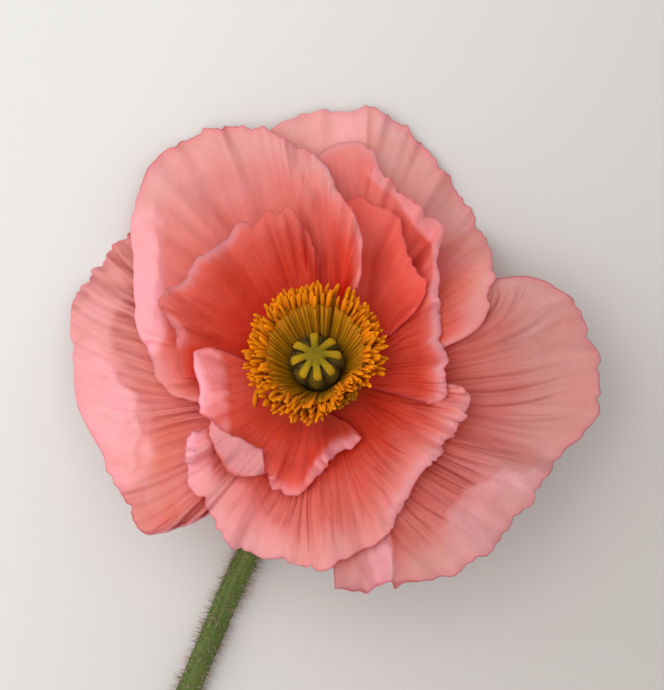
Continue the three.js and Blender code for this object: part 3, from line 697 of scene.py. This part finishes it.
def linear(colour):
    """An sRGB hex colour as the linear RGBA that shaders take."""
    parts = [int(colour[i:i + 2], 16) / 255 for i in (1, 3, 5)]
    return (*[c / 12.92 if c <= 0.04045 else ((c + 0.055) / 1.055) ** 2.4 for c in parts], 1)


# The output that a node gives where it isn't its first: a blended colour, a painted number, a place on the
# flower.
GIVES = {"ShaderNodeMix": 2, "ShaderNodeAttribute": "Fac", "ShaderNodeTexCoord": "Object"}
SHARE, FIRST, SECOND = 0, 6, 7  # inputs of a Mix node that blends colours


def add_node(tree, kind, inputs=(), stops=(), **settings):
    """Adds a node. `inputs` holds what goes into its sockets, in their order or by name: nodes, outputs of
    nodes, values, or colours as sRGB hex. `stops` are the places and colours of a ramp."""
    node = tree.nodes.new("ShaderNode" + kind)
    for name, value in settings.items():
        setattr(node, name, value)
    for socket, value in inputs.items() if isinstance(inputs, dict) else enumerate(inputs):
        if isinstance(value, bpy.types.Node):
            value = value.outputs[GIVES.get(value.bl_idname, 0)]
        if isinstance(value, bpy.types.NodeSocket):
            tree.links.new(value, node.inputs[socket])
        else:
            node.inputs[socket].default_value = linear(value) if isinstance(value, str) else value
    for i, (place, colour) in enumerate(stops):
        ramp = node.color_ramp.elements
        stop = ramp[i] if i < len(ramp) else ramp.new(place)
        stop.position = place
        stop.color = linear(colour)
    return node


def new_material(name):
    """An empty material, and add_node bound to it. A MapRange node takes a value, the range that it comes in
    and the range that it goes to."""
    material = bpy.data.materials.new(name)
    material.use_nodes = True
    material.node_tree.nodes.clear()
    return material, partial(add_node, material.node_tree)


def petal_tissue():
    """Poppy petal: a silky, crinkled sheet of thin-walled cells. It has no gloss but a faint satin sheen,
    lets light through in a deeper, warmer colour, reddens toward the heart and is palest where its rim turns
    over. Some of its colour is painted light and shade: highlights on the pale rims, crests and smooth
    places, shade in the pleats and beside the creases, and a brightness for each petal."""
    material, node = new_material("poppy_petal_tissue")
    heart, vein, pleat, fan, share, pale, back, rim, tone, peach = (
        node("Attribute", attribute_name=name)
        for name in ("heart", "vein", "pleat", "fan", "share", "pale", "back", "rim", "tone", "peach")
    )
    place = node("TexCoord")
    # Blotches about 6 mm across keep the broad colour from being even.
    blotch = node("TexNoise", {"Vector": place, "Scale": 160.0, "Detail": 3.0})
    patchy = node("Math", [blotch, 0.22, -0.11], operation="MULTIPLY_ADD")
    depth = node("Math", [heart, patchy], operation="ADD")
    body = node("ValToRGB", [depth], stops=[
        (0.0, "#FFCECC"), (0.2, "#FFB7B3"), (0.4, "#FF9B95"), (0.58, "#FC8073"), (0.78, "#F8583F"),
        (1.0, "#F02A06"),
    ])
    # Larger clouds, about 9 mm across, turn it from pink to peach.
    cloud = node("TexNoise", {"Vector": place, "Scale": 110.0, "Detail": 2.0})
    clouded = node("MapRange", [cloud, 0.35, 0.62])
    peachy = node("Math", [clouded, peach], operation="MULTIPLY")
    tinted = {"data_type": "RGBA", "blend_type": "MULTIPLY"}
    warm = node("Mix", {SHARE: peachy, FIRST: body, SECOND: "#FFEFDA"}, **tinted)
    # Veins run out along the sheet: the coarse ones about 2 mm apart, the forked ones 1 mm, and between them
    # threads of tissue at half a millimetre. A drawn-out noise bends them and makes them come and go.
    # Degrees between them, bumps of the noise along the petal, how far it bends them, and their half width.
    lines = []
    for apart, per_length, bend, half_wide in (
        (4.4, 1.3, 2.2, 0.2), (2.2, 2.0, 2.2, 0.2), (0.8, 5.0, 2.0, 0.3),
    ):
        across = node("Math", [fan, 0.6 / apart], operation="MULTIPLY")
        along = node("Math", [share, per_length], operation="MULTIPLY")
        spot = node("CombineXYZ", [across, along, apart * 9])
        noise = node("TexNoise", {"Vector": spot, "Scale": 1.0, "Detail": 1.0, "Roughness": 0.4})
        count = node("Math", [fan, 1 / apart], operation="MULTIPLY")
        bent = node("Math", [noise, bend, count], operation="MULTIPLY_ADD")
        away = node("Math", [bent, 0.5], operation="PINGPONG")
        line = node("MapRange", [away, 0.0, half_wide, 1.0, 0.0], interpolation_type="SMOOTHSTEP")
        strong = node("MapRange", [noise.outputs["Color"], 0.35, 0.6, 0.25])
        lines.append(node("Math", [line, strong], operation="MULTIPLY"))
    coarse, forked, thread = lines
    fork_share = node("Math", [forked, 0.6], operation="MULTIPLY")
    net = node("Math", [coarse, fork_share], operation="MAXIMUM")
    veins = node("Math", [net, vein], operation="MULTIPLY")
    # The pleats darken the colour in their valleys, partly as painted shade.
    pleated = node("Math", [pleat, 0.6], operation="MULTIPLY")
    marks = node("Math", [veins, pleated], operation="MAXIMUM", use_clamp=True)
    shade = node("Math", [thread, 0.07, marks], operation="MULTIPLY_ADD", use_clamp=True)
    dark = node("Mix", {SHARE: 0.8, FIRST: warm, SECOND: "#C05A48"}, **tinted)
    lined = node("Mix", {SHARE: shade, FIRST: warm, SECOND: dark}, data_type="RGBA")
    # The tissue grows pinker over the last 2 mm before the rim, and pale where the rim rolls over and in
    # the smooth places, partly paler tissue and partly a painted highlight.
    border = node("MapRange", [rim, 0.2, 2.4, 0.5, 0.0], interpolation_type="SMOOTHSTEP")
    weak = node("Math", [heart, -2.2, 1.0], operation="MULTIPLY_ADD", use_clamp=True)
    bordered = node("Math", [border, weak], operation="MULTIPLY")
    pinker = node("Mix", {SHARE: bordered, FIRST: lined, SECOND: "#FF9CAA"}, data_type="RGBA")
    rimmed = node("Mix", {SHARE: pale, FIRST: pinker, SECOND: "#FFC0CC"}, data_type="RGBA")
    # The outer face, seen where the rim folds over, is a greyer pink.
    backed = node("Mix", {SHARE: back, FIRST: rimmed, SECOND: "#F4A8AA"}, data_type="RGBA")
    # The very edge is a thin, deeper pink line.
    edge = node("MapRange", [rim, 0.1, 0.35, 0.5, 0.0])
    edged = node("Mix", {SHARE: edge, FIRST: backed, SECOND: "#DC5A6C"}, data_type="RGBA")
    # The tone is painted shade and light: a brightness for each petal, raised in the pale, highlit places.
    colour = node("HueSaturation", {"Value": tone, "Color": edged})
    through = node("Mix", {SHARE: 0.7, FIRST: colour, SECOND: "#FFB49C"}, **tinted)
    # The veins are grooves, the threads between them much shallower ones, in tissue that is creased like
    # crepe paper, with a crease every 2 mm or so.
    grooved = node("Math", [thread, 0.15, veins], operation="MULTIPLY_ADD")
    crepe = node("TexNoise", {"Vector": place, "Scale": 420.0, "Detail": 3.0, "Roughness": 0.6})
    raised = node("Math", [crepe, 4.5, grooved], operation="MULTIPLY_ADD")
    bump = node("Bump", {"Height": raised, "Strength": 0.6, "Distance": 0.00012}, invert=True)
    front = node("BsdfPrincipled", {
        "Base Color": colour, "Roughness": 0.52, "Specular IOR Level": 0.3, "IOR": 1.4, "Sheen Weight": 0.06,
        "Sheen Roughness": 0.45, "Normal": bump,
    })
    back_light = node("BsdfTranslucent", [through])
    node("OutputMaterial", [node("MixShader", [0.38, front, back_light])])
    return material


def matt_skin(node, colour, relief, strength, deep, roughness, gloss, sheen=0.0):
    """Ends a material with a mostly matt surface, in a relief that is so strong and so many metres deep."""
    bump = node("Bump", {"Height": relief, "Strength": strength, "Distance": deep})
    skin = node("BsdfPrincipled", {
        "Base Color": colour, "Roughness": roughness, "Specular IOR Level": gloss, "Sheen Weight": sheen,
        "Normal": bump,
    })
    node("OutputMaterial", [skin])


def stem_skin():
    """Living stem: a firm, waxy skin with fine lengthwise ridges, in patches of lighter and darker green."""
    material, node = new_material("poppy_stem_skin")
    # Ridges about 0.6 mm apart round the stem, drawn out along it.
    fan = node("Mapping", {"Vector": node("UVMap"), "Scale": (22.0, 9.0, 1.0)})
    ridge = node("TexNoise", {"Vector": fan, "Scale": 1.0, "Detail": 3.0})
    patch = node("TexNoise", {"Vector": node("TexCoord"), "Scale": 130.0, "Detail": 3.0})
    half = node("Math", [patch, 0.5], operation="MULTIPLY")
    share = node("Math", [ridge, 0.5, half], operation="MULTIPLY_ADD")
    green = node("ValToRGB", [share], stops=[(0.3, "#3E4E17"), (0.5, "#526426"), (0.7, "#6C7A32")])
    matt_skin(node, green, ridge, 0.4, 0.0002, roughness=0.55, gloss=0.25, sheen=0.05)
    return material


def fine_part_skin(name, root, tip, roughness, sheen, spread):
    """Skin of small parts that repeat, such as hairs and anthers: one colour at the root and one at the tip,
    and each of them lighter or darker by its own shade."""
    material, node = new_material(name)
    colour = node("ValToRGB", [node("Attribute", attribute_name="along")], stops=[(0.0, root), (1.0, tip)])
    shade = node("Attribute", attribute_name="shade")
    bright = node("MapRange", [shade, 0.0, 1.0, 1 - spread, 1 + spread])
    lit = node("HueSaturation", {"Color": colour, "Value": bright})
    # Grains of 0.2 mm, about as fine as shows.
    grain = node("TexNoise", {"Vector": node("TexCoord"), "Scale": 5000.0, "Detail": 1.0})
    matt_skin(node, lit, grain, 0.3, 0.0001, roughness, 0.12, sheen)
    return material


def pistil_skin(name, low, middle, high, scale, roughness):
    """Skin of the capsule and the stigma: green tissue, mottled as its small warts and papillae are."""
    material, node = new_material(name)
    mottle = node("TexNoise", {"Vector": node("TexCoord"), "Scale": scale, "Detail": 4.0, "Roughness": 0.65})
    mixed = node("Math", [mottle, 0.5, -0.25], operation="MULTIPLY_ADD")
    share = node("Math", [mixed, node("Attribute", attribute_name="tone")], operation="ADD")
    colour = node("ValToRGB", [share], stops=[(0.1, low), (0.5, middle), (0.9, high)])
    matt_skin(node, colour, mottle, 0.5, 0.0002, roughness, gloss=0.15)
    return material


# ---- petals ----

tissue = petal_tissue()


def rim_of(petal, order, azimuth):
    """Reach of a petal's crinkled rim, its smooth reach, and how the smooth reach grows with azimuth."""
    before, smooth, after = (along_rim(petal["rim"], 1, azimuth + degrees) for degrees in (-0.5, 0, 0.5))
    grows = (after - before) / math.radians(1)
    crinkle = waves(order + 20, CRINKLE_WAVES, CRINKLE_HIGH, np.radians(azimuth) * smooth)
    # Where the rim runs steeply inward, the scallops would be saw teeth.
    long, turn, _ = lip_of(petal, order, azimuth, smooth)
    _, _, added = curl(np.ones_like(smooth), long, turn, 0)
    calm = (1 - 0.8 * smooth_step(1.5, 4, long)) / (1 + (grows / smooth) ** 2 * 1.6)
    # The sheet stops short by what its lip adds.
    return smooth + crinkle * calm - added, smooth, grows


def lip_of(petal, order, azimuth, reach):
    """Length of the turned edge at each azimuth, the degrees that it turns up and inward, and how pale,
    partly paler tissue and partly a painted highlight.
    """
    arc = np.radians(azimuth) * reach
    long = LIP_LONG * (1 + 0.4 * np.sin(arc / 1.7 + order))
    turn = LIP_TURN * (2 * drift(arc / 4.5, arc * 0, order + 83) - 1)
    pale = np.zeros_like(arc)
    for starts, whole_from, whole_to, ends, full_long, full_turn, full_pale in petal["lips"]:
        there = smooth_step(starts, whole_from, azimuth) * (1 - smooth_step(whole_to, ends, azimuth))
        uneven = 1 + (0.2 if full_turn < 90 else 0.04) * np.sin(arc / 1.3 + 2 * order) * np.sin(arc / 3.1)
        turned = smooth_step(0, 0.3, there)
        long = long * (1 - there) + full_long * uneven * there
        turn = turn * (1 - turned) + full_turn * turned
        pale = pale * (1 - there) + full_pale * there
    return long, turn, pale


def curl(done, long, turn, slope):
    """How far a lip has run outward and upward at a share of its length, and the furthest out by then."""
    outward, upward, furthest = np.zeros_like(long), np.zeros_like(long), np.zeros_like(long)
    for step in range(LIP_STEPS):
        at = done * long * (step + 0.5) / LIP_STEPS
        heading = np.arctan(slope) + np.radians(turn) * smooth_step(0, 1, at / np.minimum(long, LIP_CURL))
        outward = outward + np.cos(heading) * done * long / LIP_STEPS
        upward = upward + np.sin(heading) * done * long / LIP_STEPS
        furthest = np.maximum(furthest, outward)
    return outward, upward, furthest


def petal_piece(plan, order):
    """Builds a petal: a grid from its claw to its rim and on into its lip, draped, painted and thickened."""
    rim = plan["rim"]
    longest = max(point[1] for point in rim)
    columns = round(math.radians(rim[-1][0] - rim[0][0]) * longest / COLUMN_WIDE)
    rows = round((longest - CLAW) / ROW_LONG)
    lip_starts = rows / (rows + LIP_ROWS)

    def polar(across, along):
        share = np.minimum(along / lip_starts, 1)
        first, last = span_of(plan, share)
        azimuth = last + (first - last) * across
        reach, smooth, grows = rim_of(plan, order, azimuth)
        return azimuth, share, CLAW + (reach - CLAW) * share, smooth, grows

    def place(across, along):
        azimuth, share, distance, smooth, grows = polar(across, along)
        height = height_of(order, distance, azimuth)
        slope = (height - height_of(order, distance - SLOPE_STEP, azimuth)) / SLOPE_STEP
        # The lip leaves the rim square to it and along the petal's slope, then curls.
        long, turn, _ = lip_of(plan, order, azimuth, smooth)
        done = np.clip((along - lip_starts) / (1 - lip_starts), 0, 1)
        outward, upward, _ = curl(done, long, turn, slope)
        # A flap folds straight toward the middle, so that it doesn't crumple.
        grows = grows * (1 - smooth_step(60, 120, turn))
        size = np.hypot(smooth, grows)
        ahead, aside = outward * smooth / size, -outward * grows / size
        _, _, inside = smooth_of(plan, distance, azimuth)
        crease = plan["pleat"] * pleats_of(plan, order, azimuth, share) * (1 - 0.6 * inside)
        shape = around(np.radians(azimuth), distance + ahead, aside, height + upward - crease)
        shape[:, 2] = rounded_max(shape[:, 2] + dents_of(shape[:, 0], shape[:, 1]), LOWEST, LOWEST_SOFT)
        return shape

    piece, across, along = sheet(plan["name"] + "_petal", columns, rows + LIP_ROWS, place)
    azimuth, share, distance, smooth, _ = polar(across, along)
    done = np.clip((along - lip_starts) / (1 - lip_starts), 0, 1)
    long, turn, pale = lip_of(plan, order, azimuth, smooth)
    first, last = span_of(plan, share)
    aside = distance * np.radians(np.minimum(np.abs(azimuth - first), np.abs(last - azimuth)))
    inward = rim_of(plan, order, azimuth)[0] - distance + long * (1 - done)
    _, pale_and_highlit, inside = smooth_of(plan, distance, azimuth)
    _, crease_light_and_shade = creases_of(plan, distance, azimuth)
    mottled = 0.35 + 0.8 * drift(azimuth / 4.5, distance / 3.1, order + 7)
    mottled = mottled + 0.5 * drift(azimuth / 2, distance / 1.3, 8)
    pale_and_highlit = pale_and_highlit * mottled + np.maximum(crease_light_and_shade, 0) * mottled
    # The deep colour fades outward from the heart, sooner along some of the pleats than along others.
    reddest = HEART_WIDE + 3 * (drift(azimuth / 5, share * 0.8, order + 91) - 0.5)
    heart = 1 - np.clip((distance - reddest) / plan["heart"], 0, 1)
    heart = plan["glow"] + (plan["deep"] - plan["glow"]) * heart
    heart = heart * (plan["border"] + (1 - plan["border"]) * smooth_step(0.3, plan["fade"], inward))
    # The pale, highlit places lose deep colour, and beside a crease it is deepened as painted shade.
    heart = heart * (1 - PALE_AND_HIGHLIT_FADES * np.minimum(pale_and_highlit, 1)) - CREASE_PAINTED_SHADE * np.minimum(crease_light_and_shade, 0)
    # A rolled rim pales softly, and a turned lip pales over its crest: partly paler tissue, partly a
    # painted highlight.
    roll = along_rim(rim, 3, azimuth)
    band = (1 - smooth_step(0.3, 2 + 1.5 * np.clip(roll, 0, 4), inward)) * np.clip(roll - 0.6, 0, 1.6) / 1.6
    turned = pale * smooth_step(-1.3, 0.9, long * done - np.maximum(inward - long, 0))
    for name, values in {
        "rim": np.minimum(inward, aside),
        "fan": fan_of(plan, order, azimuth, share),
        "share": share + 10 * order,
        "vein": plan["vein"] * veined_of(order, azimuth, share) * (1 - 0.7 * inside),
        # The pleats darken their valleys, partly as painted shade.
        "pleat": plan["dark"] * pleats_of(plan, order, azimuth, share) * (1 - 0.7 * inside),
        # Brightness: painted shade and light for each petal, raised as painted highlight in the pale places.
        "tone": plan["tone"] * (1 + PAINTED_HIGHLIGHT_BRIGHTENS * np.minimum(pale_and_highlit, 1)),
        "peach": np.full_like(share, plan["peach"]),
        "heart": heart,
        "pale": np.clip(plan["pale"] * band + turned + 0.6 * pale_and_highlit, 0, 1),
        "back": smooth_step(0.05, 0.3, done) * smooth_step(70, 130, turn),
    }.items():
        paint(piece, name, values)
    apply_modifier(piece, "SOLIDIFY", thickness=PETAL_THICK * MM, offset=0)
    slot = "petal_inner" if "inner" in plan["name"] else "petal_outer"
    finish_piece(piece, tissue, slot, "petal_" + plan["name"])


for order, plan in enumerate(PETALS):
    petal_piece(plan, order)


# ---- stem ----

def smooth_route(route, samples):
    """Points on a soft curve through the route's points, evenly spread along it."""
    points = np.array(route, float)
    chord = np.r_[0, np.cumsum(np.linalg.norm(np.diff(points[:, :3], axis=0), axis=1))]
    table = np.c_[chord, points]
    at = np.linspace(0, chord[-1], samples)
    return np.stack([along_rim(table.tolist(), column, at) for column in range(1, 5)], axis=1)


def frames_along(points):
    """Two directions square to a route at each of its points, turning with it without a twist."""
    ahead = np.gradient(points, axis=0)
    ahead /= np.linalg.norm(ahead, axis=1)[:, None]
    side = np.array([1.0, 0.0, 0.0])
    sides = []
    for direction in ahead:
        side = side - direction * (side @ direction)
        side = side / np.linalg.norm(side)
        sides.append(side)
    sides = np.array(sides)
    return sides, np.cross(ahead, sides), ahead


stem_line = smooth_route(STEM_ROUTE, STEM_ROWS - 1)
stem_side, stem_up, stem_ahead = frames_along(stem_line[:, :3])


def on_stem(angle, row):
    """A place on the stem's skin and the direction out of it, at an angle round it and a row along it."""
    out = stem_side[row] * np.cos(angle)[:, None] + stem_up[row] * np.sin(angle)[:, None]
    ridge = 1 + 0.02 * np.cos(7 * angle + row * 0.02) + 0.03 * (drift(angle * 1.6, row * 0.06, 5) - 0.5)
    return stem_line[row, :3] + out * (stem_line[row, 3] * ridge)[:, None], out


def stem_place(across, share):
    """The grid rolled up round the stem, with its first and last row drawn together to close the ends."""
    ring = np.rint(share * STEM_ROWS).astype(int)
    row = np.clip(ring - 1, 0, STEM_ROWS - 2)
    skin, _ = on_stem(2 * math.pi * across, row)
    cap = (ring == 0) | (ring == STEM_ROWS)
    return np.where(cap[:, None], stem_line[row, :3], skin)


stem = rolled_up("green_stem", STEM_ROUND, STEM_ROWS, stem_place)
finish_piece(stem, stem_skin(), "stem_green", "stem")


angles = rng.uniform(0, 2 * math.pi, STEM_HAIRS)
rows_at = rng.integers(STEM_HAIRS_FROM, STEM_ROWS - 2, STEM_HAIRS)
roots, outs = on_stem(angles, rows_at)
lengths = rng.uniform(*STEM_HAIR_LONG, STEM_HAIRS)
leans = rng.normal(0, 0.28, (STEM_HAIRS, 3))
hair_places = []
for root, out, long, lean, row in zip(roots, outs, lengths, leans, rows_at):
    along = (out + lean) / np.linalg.norm(out + lean)
    # None reaches down into what the stem lies on.
    lowest = (STEM_HAIR_CLEAR - root[2]) / long
    if lowest < 0.6:
        if along[2] < lowest:
            level = math.hypot(along[0], along[1])
            along = np.array([*(along[:2] / level * math.sqrt(1 - lowest ** 2)), lowest])
        hair_places.append(facing(root - out * 0.05, along, stem_ahead[row], (1, 1, long)))
stem_hairs = copies("stem_hairs", hair_model(STEM_HAIR_RADIUS), hair_places)
hair = fine_part_skin("poppy_stem_bristle", "#94805C", "#D8B6AA", 0.5, 0.1, 0.2)
finish_piece(stem_hairs, hair, "stem_green")


# ---- pistil ----

def capsule_place(across, along):
    """The grid rolled up round the capsule's outline, ribbed over its shoulder."""
    angle = 2 * math.pi * across
    table = [[i / (len(CAPSULE) - 1), *point] for i, point in enumerate(CAPSULE)]
    radius = np.maximum(along_rim(table, 1, along), 0)
    height = along_rim(table, 2, along)
    radius = np.where((along < 1e-6) | (along > 1 - 1e-6), 0, radius)
    rib = 1 + CAPSULE_RIB_HIGH * np.abs(np.cos(CAPSULE_RIBS / 2 * angle)) * smooth_step(4, 7, height)
    return on_axis(around(angle, radius * rib, 0, height))


capsule = rolled_up("seed_capsule", *CAPSULE_GRID, capsule_place)
local = off_axis(capsule)
ribbed = np.abs(np.cos(CAPSULE_RIBS / 2 * np.arctan2(local[:, 1], local[:, 0])))
paint(capsule, "tone", 0.12 + 0.4 * ribbed)
finish_piece(capsule, pistil_skin("poppy_capsule_skin", "#2E2410", "#6A5A1A", "#968C38", 600.0, 0.65),
             "capsule_green", "pistil_capsule")

spots = rng.uniform(0, 1, (CAPSULE_HAIRS, 2))
spots[:, 1] = 0.28 + 0.6 * spots[:, 1]
feet = capsule_place(spots[:, 0], spots[:, 1])
ahead_of = capsule_place(spots[:, 0], spots[:, 1] + 0.02) - feet
bristles = []
for foot, ahead in zip(feet, ahead_of):
    from_axis = foot - AXIS_FOOT
    out = from_axis - BLOOM_AXIS * (from_axis @ BLOOM_AXIS)
    out = out / np.linalg.norm(out)
    slant = ahead / (np.linalg.norm(ahead) + 1e-9)
    long = rng.uniform(*CAPSULE_HAIR_LONG)
    bristles.append(facing(foot - out * 0.08, out + 0.9 * slant, BLOOM_AXIS, (1, 1, long)))
capsule_hairs = copies("capsule_bristles", hair_model(CAPSULE_HAIR_RADIUS), bristles)
bristle = fine_part_skin("poppy_capsule_bristle", "#140E08", "#3A2C14", 0.5, 0.1, 0.3)
finish_piece(capsule_hairs, bristle, "capsule_green")


def stigma_piece():
    """A disc of velvety rays that droop at their blunt ends, grown into one body."""
    parts = []
    for ray, azimuth in enumerate(STIGMA_RAYS):
        turn = math.radians(azimuth)

        def place(across, along, turn=turn, ray=ray):
            angle = 2 * math.pi * across
            out = STIGMA_REACH * along * (1 + 0.04 * math.sin(3.1 * ray))
            end = np.sqrt(np.clip(1 - np.maximum((along - 1 + RAY_BLUNT) / RAY_BLUNT, 0) ** 2, 0, 1))
            end = np.where(along < 1e-6, 0, end)
            wide = (RAY_HALF_WIDE + RAY_WIDENS * along ** 1.2) * end
            high = RAY_HALF_HIGH * end
            drop = RAY_DROOP * along ** 2.4
            groove = 0.1 * np.exp(-((np.cos(angle)) / 0.3) ** 2) * (np.sin(angle) > 0)
            y = wide * np.cos(angle)
            z = STIGMA_TOP - RAY_HALF_HIGH - drop + high * np.sin(angle) - groove * end
            return on_axis(around(turn, out, y, z))

        parts.append(rolled_up(f"ray_{ray}", *RAY_GRID, place))

    def hub_place(across, along):
        angle = 2 * math.pi * across
        radius = STIGMA_HUB[0] * np.sin(math.pi * along)
        height = STIGMA_TOP - 1.3 - STIGMA_HUB[1] * np.cos(math.pi * along)
        return on_axis(around(angle, radius, 0, height))

    hub = rolled_up("stigma_disc", *HUB_GRID, hub_place)
    leave_selected(hub, *parts)
    bpy.ops.object.join()
    apply_modifier(hub, "REMESH", mode="VOXEL", voxel_size=STIGMA_VOXEL * MM)
    apply_modifier(hub, "SMOOTH", factor=0.5, iterations=3)
    return hub


stigma = stigma_piece()
local = off_axis(stigma)
paint(stigma, "tone", 0.25 + 0.5 * smooth_step(0.8, 4.2, np.hypot(local[:, 0], local[:, 1])))
finish_piece(stigma, pistil_skin("poppy_stigma_velvet", "#625400", "#90780A", "#BC9210", 1600.0, 0.7),
             "stigma_green", "pistil_stigma")


# ---- stamens ----

def anther_model():
    """One anther: two long pollen sacs side by side, of unit half sizes, with a groove between them."""
    anther = primitive(bpy.ops.mesh.primitive_uv_sphere_add, "anther", segments=8, ring_count=6, radius=1)
    corners = corners_of(anther)
    corners[:, 2] = np.sign(corners[:, 2]) * np.abs(corners[:, 2]) ** 0.8
    corners[:, 1] *= 1 - 0.35 * np.exp(-((corners[:, 0] / 0.35) ** 2))
    move_corners(anther, corners)
    return anther


def on_row(pair, share):
    """The value for a row, from the pair of the inner row's and the outer row's."""
    return pair[0] + (pair[1] - pair[0]) * share


threads, anthers = [], []


def add_stamen(angle, share, ring, high, with_anther=True):
    """A flat thread from its root to its tip, and the anther that points up and out from there."""
    out = np.array([math.cos(angle), math.sin(angle), 0])
    root = on_axis([out * on_row(FILAMENT_ROOTS, share) + [0, 0, FILAMENT_START]])[0]
    tip = on_axis([out * ring + [0, 0, high]])[0]
    line = Vector(tip - root)
    threads.append(facing(root, line, BLOOM_AXIS, (*FILAMENT_SIZE, line.length)))
    wander = Vector(rng.normal(0, 0.26, 3))
    if with_anther:
        outward = Vector(AXIS_TURN @ out)
        along = line.normalized() + 0.4 * outward + wander
        size = [s * rng.uniform(0.85, 1.15) for s in ANTHER_SIZE]
        anthers.append(facing(Vector(tip) + along.normalized() * 0.6, along, wander.cross(along), size))


def settled(degrees, share, ring, high):
    """Where a stamen's tip comes to be: the ring is a little oval, narrower at the stem's side, and a clump
    of it has fallen in."""
    fallen = math.exp(-(((degrees - FALLEN_AT[0]) / FALLEN_AT[1]) ** 2))
    ring *= 1 - 0.07 * math.cos(math.radians(degrees)) ** 2
    ring -= 0.8 * max(-math.sin(math.radians(degrees)), 0) ** 2 * share + (1.2 + 2.6 * share) * fallen
    return ring, high + 0.6 * fallen


# The innermost threads stand so close that they make a smooth cup.
for i in range(CUP_THREADS):
    degrees = 360 * (i + rng.uniform(-0.3, 0.3)) / CUP_THREADS
    stray = rng.normal(0, CUP_STRAY[0]), rng.normal(0, CUP_STRAY[1])
    ring, high = settled(degrees, 0, CUP_RIM[0] + stray[0], CUP_RIM[1] + stray[1])
    if not GAP_AT[0] < degrees < GAP_AT[1]:
        add_stamen(math.radians(degrees), 0, ring, high, with_anther=False)
for row in range(STAMEN_ROWS):
    share = row / (STAMEN_ROWS - 1)
    for i in range(STAMENS_IN_ROW):
        degrees = 360 * (i + row / STAMEN_ROWS + rng.uniform(-0.3, 0.3)) / STAMENS_IN_ROW
        ring = on_row(ANTHER_RING, share) + rng.normal(0, ANTHER_STRAY[0])
        high = on_row(ANTHER_HEIGHT, share) + rng.normal(0, ANTHER_STRAY[1])
        if not GAP_AT[0] < degrees < GAP_AT[1]:
            add_stamen(math.radians(degrees), share, *settled(degrees, share, ring, high))
# Bare threads show outside the fallen clump.
for i in range(BARE_THREADS):
    angle = math.radians(FALLEN_AT[0] + rng.uniform(-1, 1) * FALLEN_AT[1])
    share, ring, high = rng.uniform(0.6, 1), rng.uniform(*BARE_RING), rng.uniform(*BARE_HEIGHT)
    add_stamen(angle, share, ring, high, with_anther=False)

turn, out = math.radians(LOOSE_AT[0]), LOOSE_AT[1]
high = height_of(len(PETALS) - 1, np.array([out]), np.array([LOOSE_AT[0]]))[0]
anthers.append(facing(
    (out * math.cos(turn), out * math.sin(turn), high + 0.4), (0.1, 1, 0.1), (0, 0, 1), ANTHER_SIZE
))

# A filament is a thin thread, slightly bent.
thread = strand(bpy.ops.mesh.primitive_cylinder_add, [-0.25, 0, 0.25],
                lambda height: -0.5 * height * (1 - height), vertices=4, radius=1)
filament = fine_part_skin("poppy_filament", "#AC7E12", "#BC760A", 0.6, 0.0, 0.08)
finish_piece(copies("filaments", thread, threads), filament, "stamen_gold", "stamens")
pollen = fine_part_skin("poppy_pollen", "#C26000", "#E48804", 0.8, 0.0, 0.16)
finish_piece(copies("anthers", anther_model(), anthers), pollen, "stamen_gold", "stamens")


# ---- surface, light and camera ----

# Name, size, power and place of each soft lamp, and the place that they face, in metres and watts.
LAMPS = [("window", 0.75, 2.45, (-0.42, 0.22, 0.56)), ("front_fill", 1.0, 4.3, (-0.03, 0.05, 1.0))]
LAMPS_FACE = (0.01, 0.05, 0.01)
LAMP_COLOUR = (1.0, 0.985, 0.965)
ROOM_LIGHT = 0.64  # strength of the even light from all sides


def studio():
    """A pale matt surface under a large soft window light from the left, a softer one from above and an even
    room light."""
    surface = primitive(bpy.ops.mesh.primitive_plane_add, "pale_surface", size=6)
    # The paper's colour darkens softly from the window's side to the other, over about 170 mm: painted
    # shade where the window's light falls off.
    material, node = new_material("matt_paper")
    place = node("TexCoord")
    slant = node("Mapping", {
        "Vector": place, "Location": (0.42, 0, 0), "Rotation": (0, 0, 0.45), "Scale": (6.0, 6.0, 6.0),
    })
    paper_falloff_shade = node("ValToRGB", [node("TexGradient", [slant])], stops=[(0.0, "#DCDBD9"), (1.0, "#BBB6B0")])
    # Its tooth is really finer than this, about 1 mm, which is as fine as shows.
    tooth = node("TexNoise", {"Vector": place, "Scale": 900.0})
    matt_skin(node, paper_falloff_shade, tooth, 0.1, 0.0001, roughness=0.9, gloss=0.1)
    surface.data.materials.append(material)

    world = bpy.data.worlds.new("room")
    world.use_nodes = True
    world.node_tree.nodes.clear()
    room = add_node(world.node_tree, "Background", ["#F0F0F2", ROOM_LIGHT])
    add_node(world.node_tree, "OutputWorld", [room])
    bpy.context.scene.world = world

    for name, size, power, place in LAMPS:
        lamp = bpy.data.lights.new(name, "AREA")
        lamp.size = size
        lamp.energy = power
        lamp.color = LAMP_COLOUR
        holder = place_object(name, lamp)
        holder.location = place
        toward = Vector(LAMPS_FACE) - Vector(place)
        holder.rotation_euler = toward.to_track_quat("-Z", "Y").to_euler()
    bpy.context.scene.view_settings.view_transform = "Standard"


CAMERA_HIGH = 374  # above the surface
CAMERA_FROM_POLE = [2.05, 6.15]
CAMERA_LENS = 100  # for a 36 mm sensor


def camera():
    """Looks straight down at the bloom."""
    lens = bpy.data.cameras.new("camera")
    lens.lens = CAMERA_LENS
    lens.sensor_width = 36
    lens.clip_start = 0.02
    lens.clip_end = 20
    eye = place_object("camera", lens)
    eye.location = metres([*CAMERA_FROM_POLE, CAMERA_HIGH])
    bpy.context.scene.camera = eye


studio()
camera()
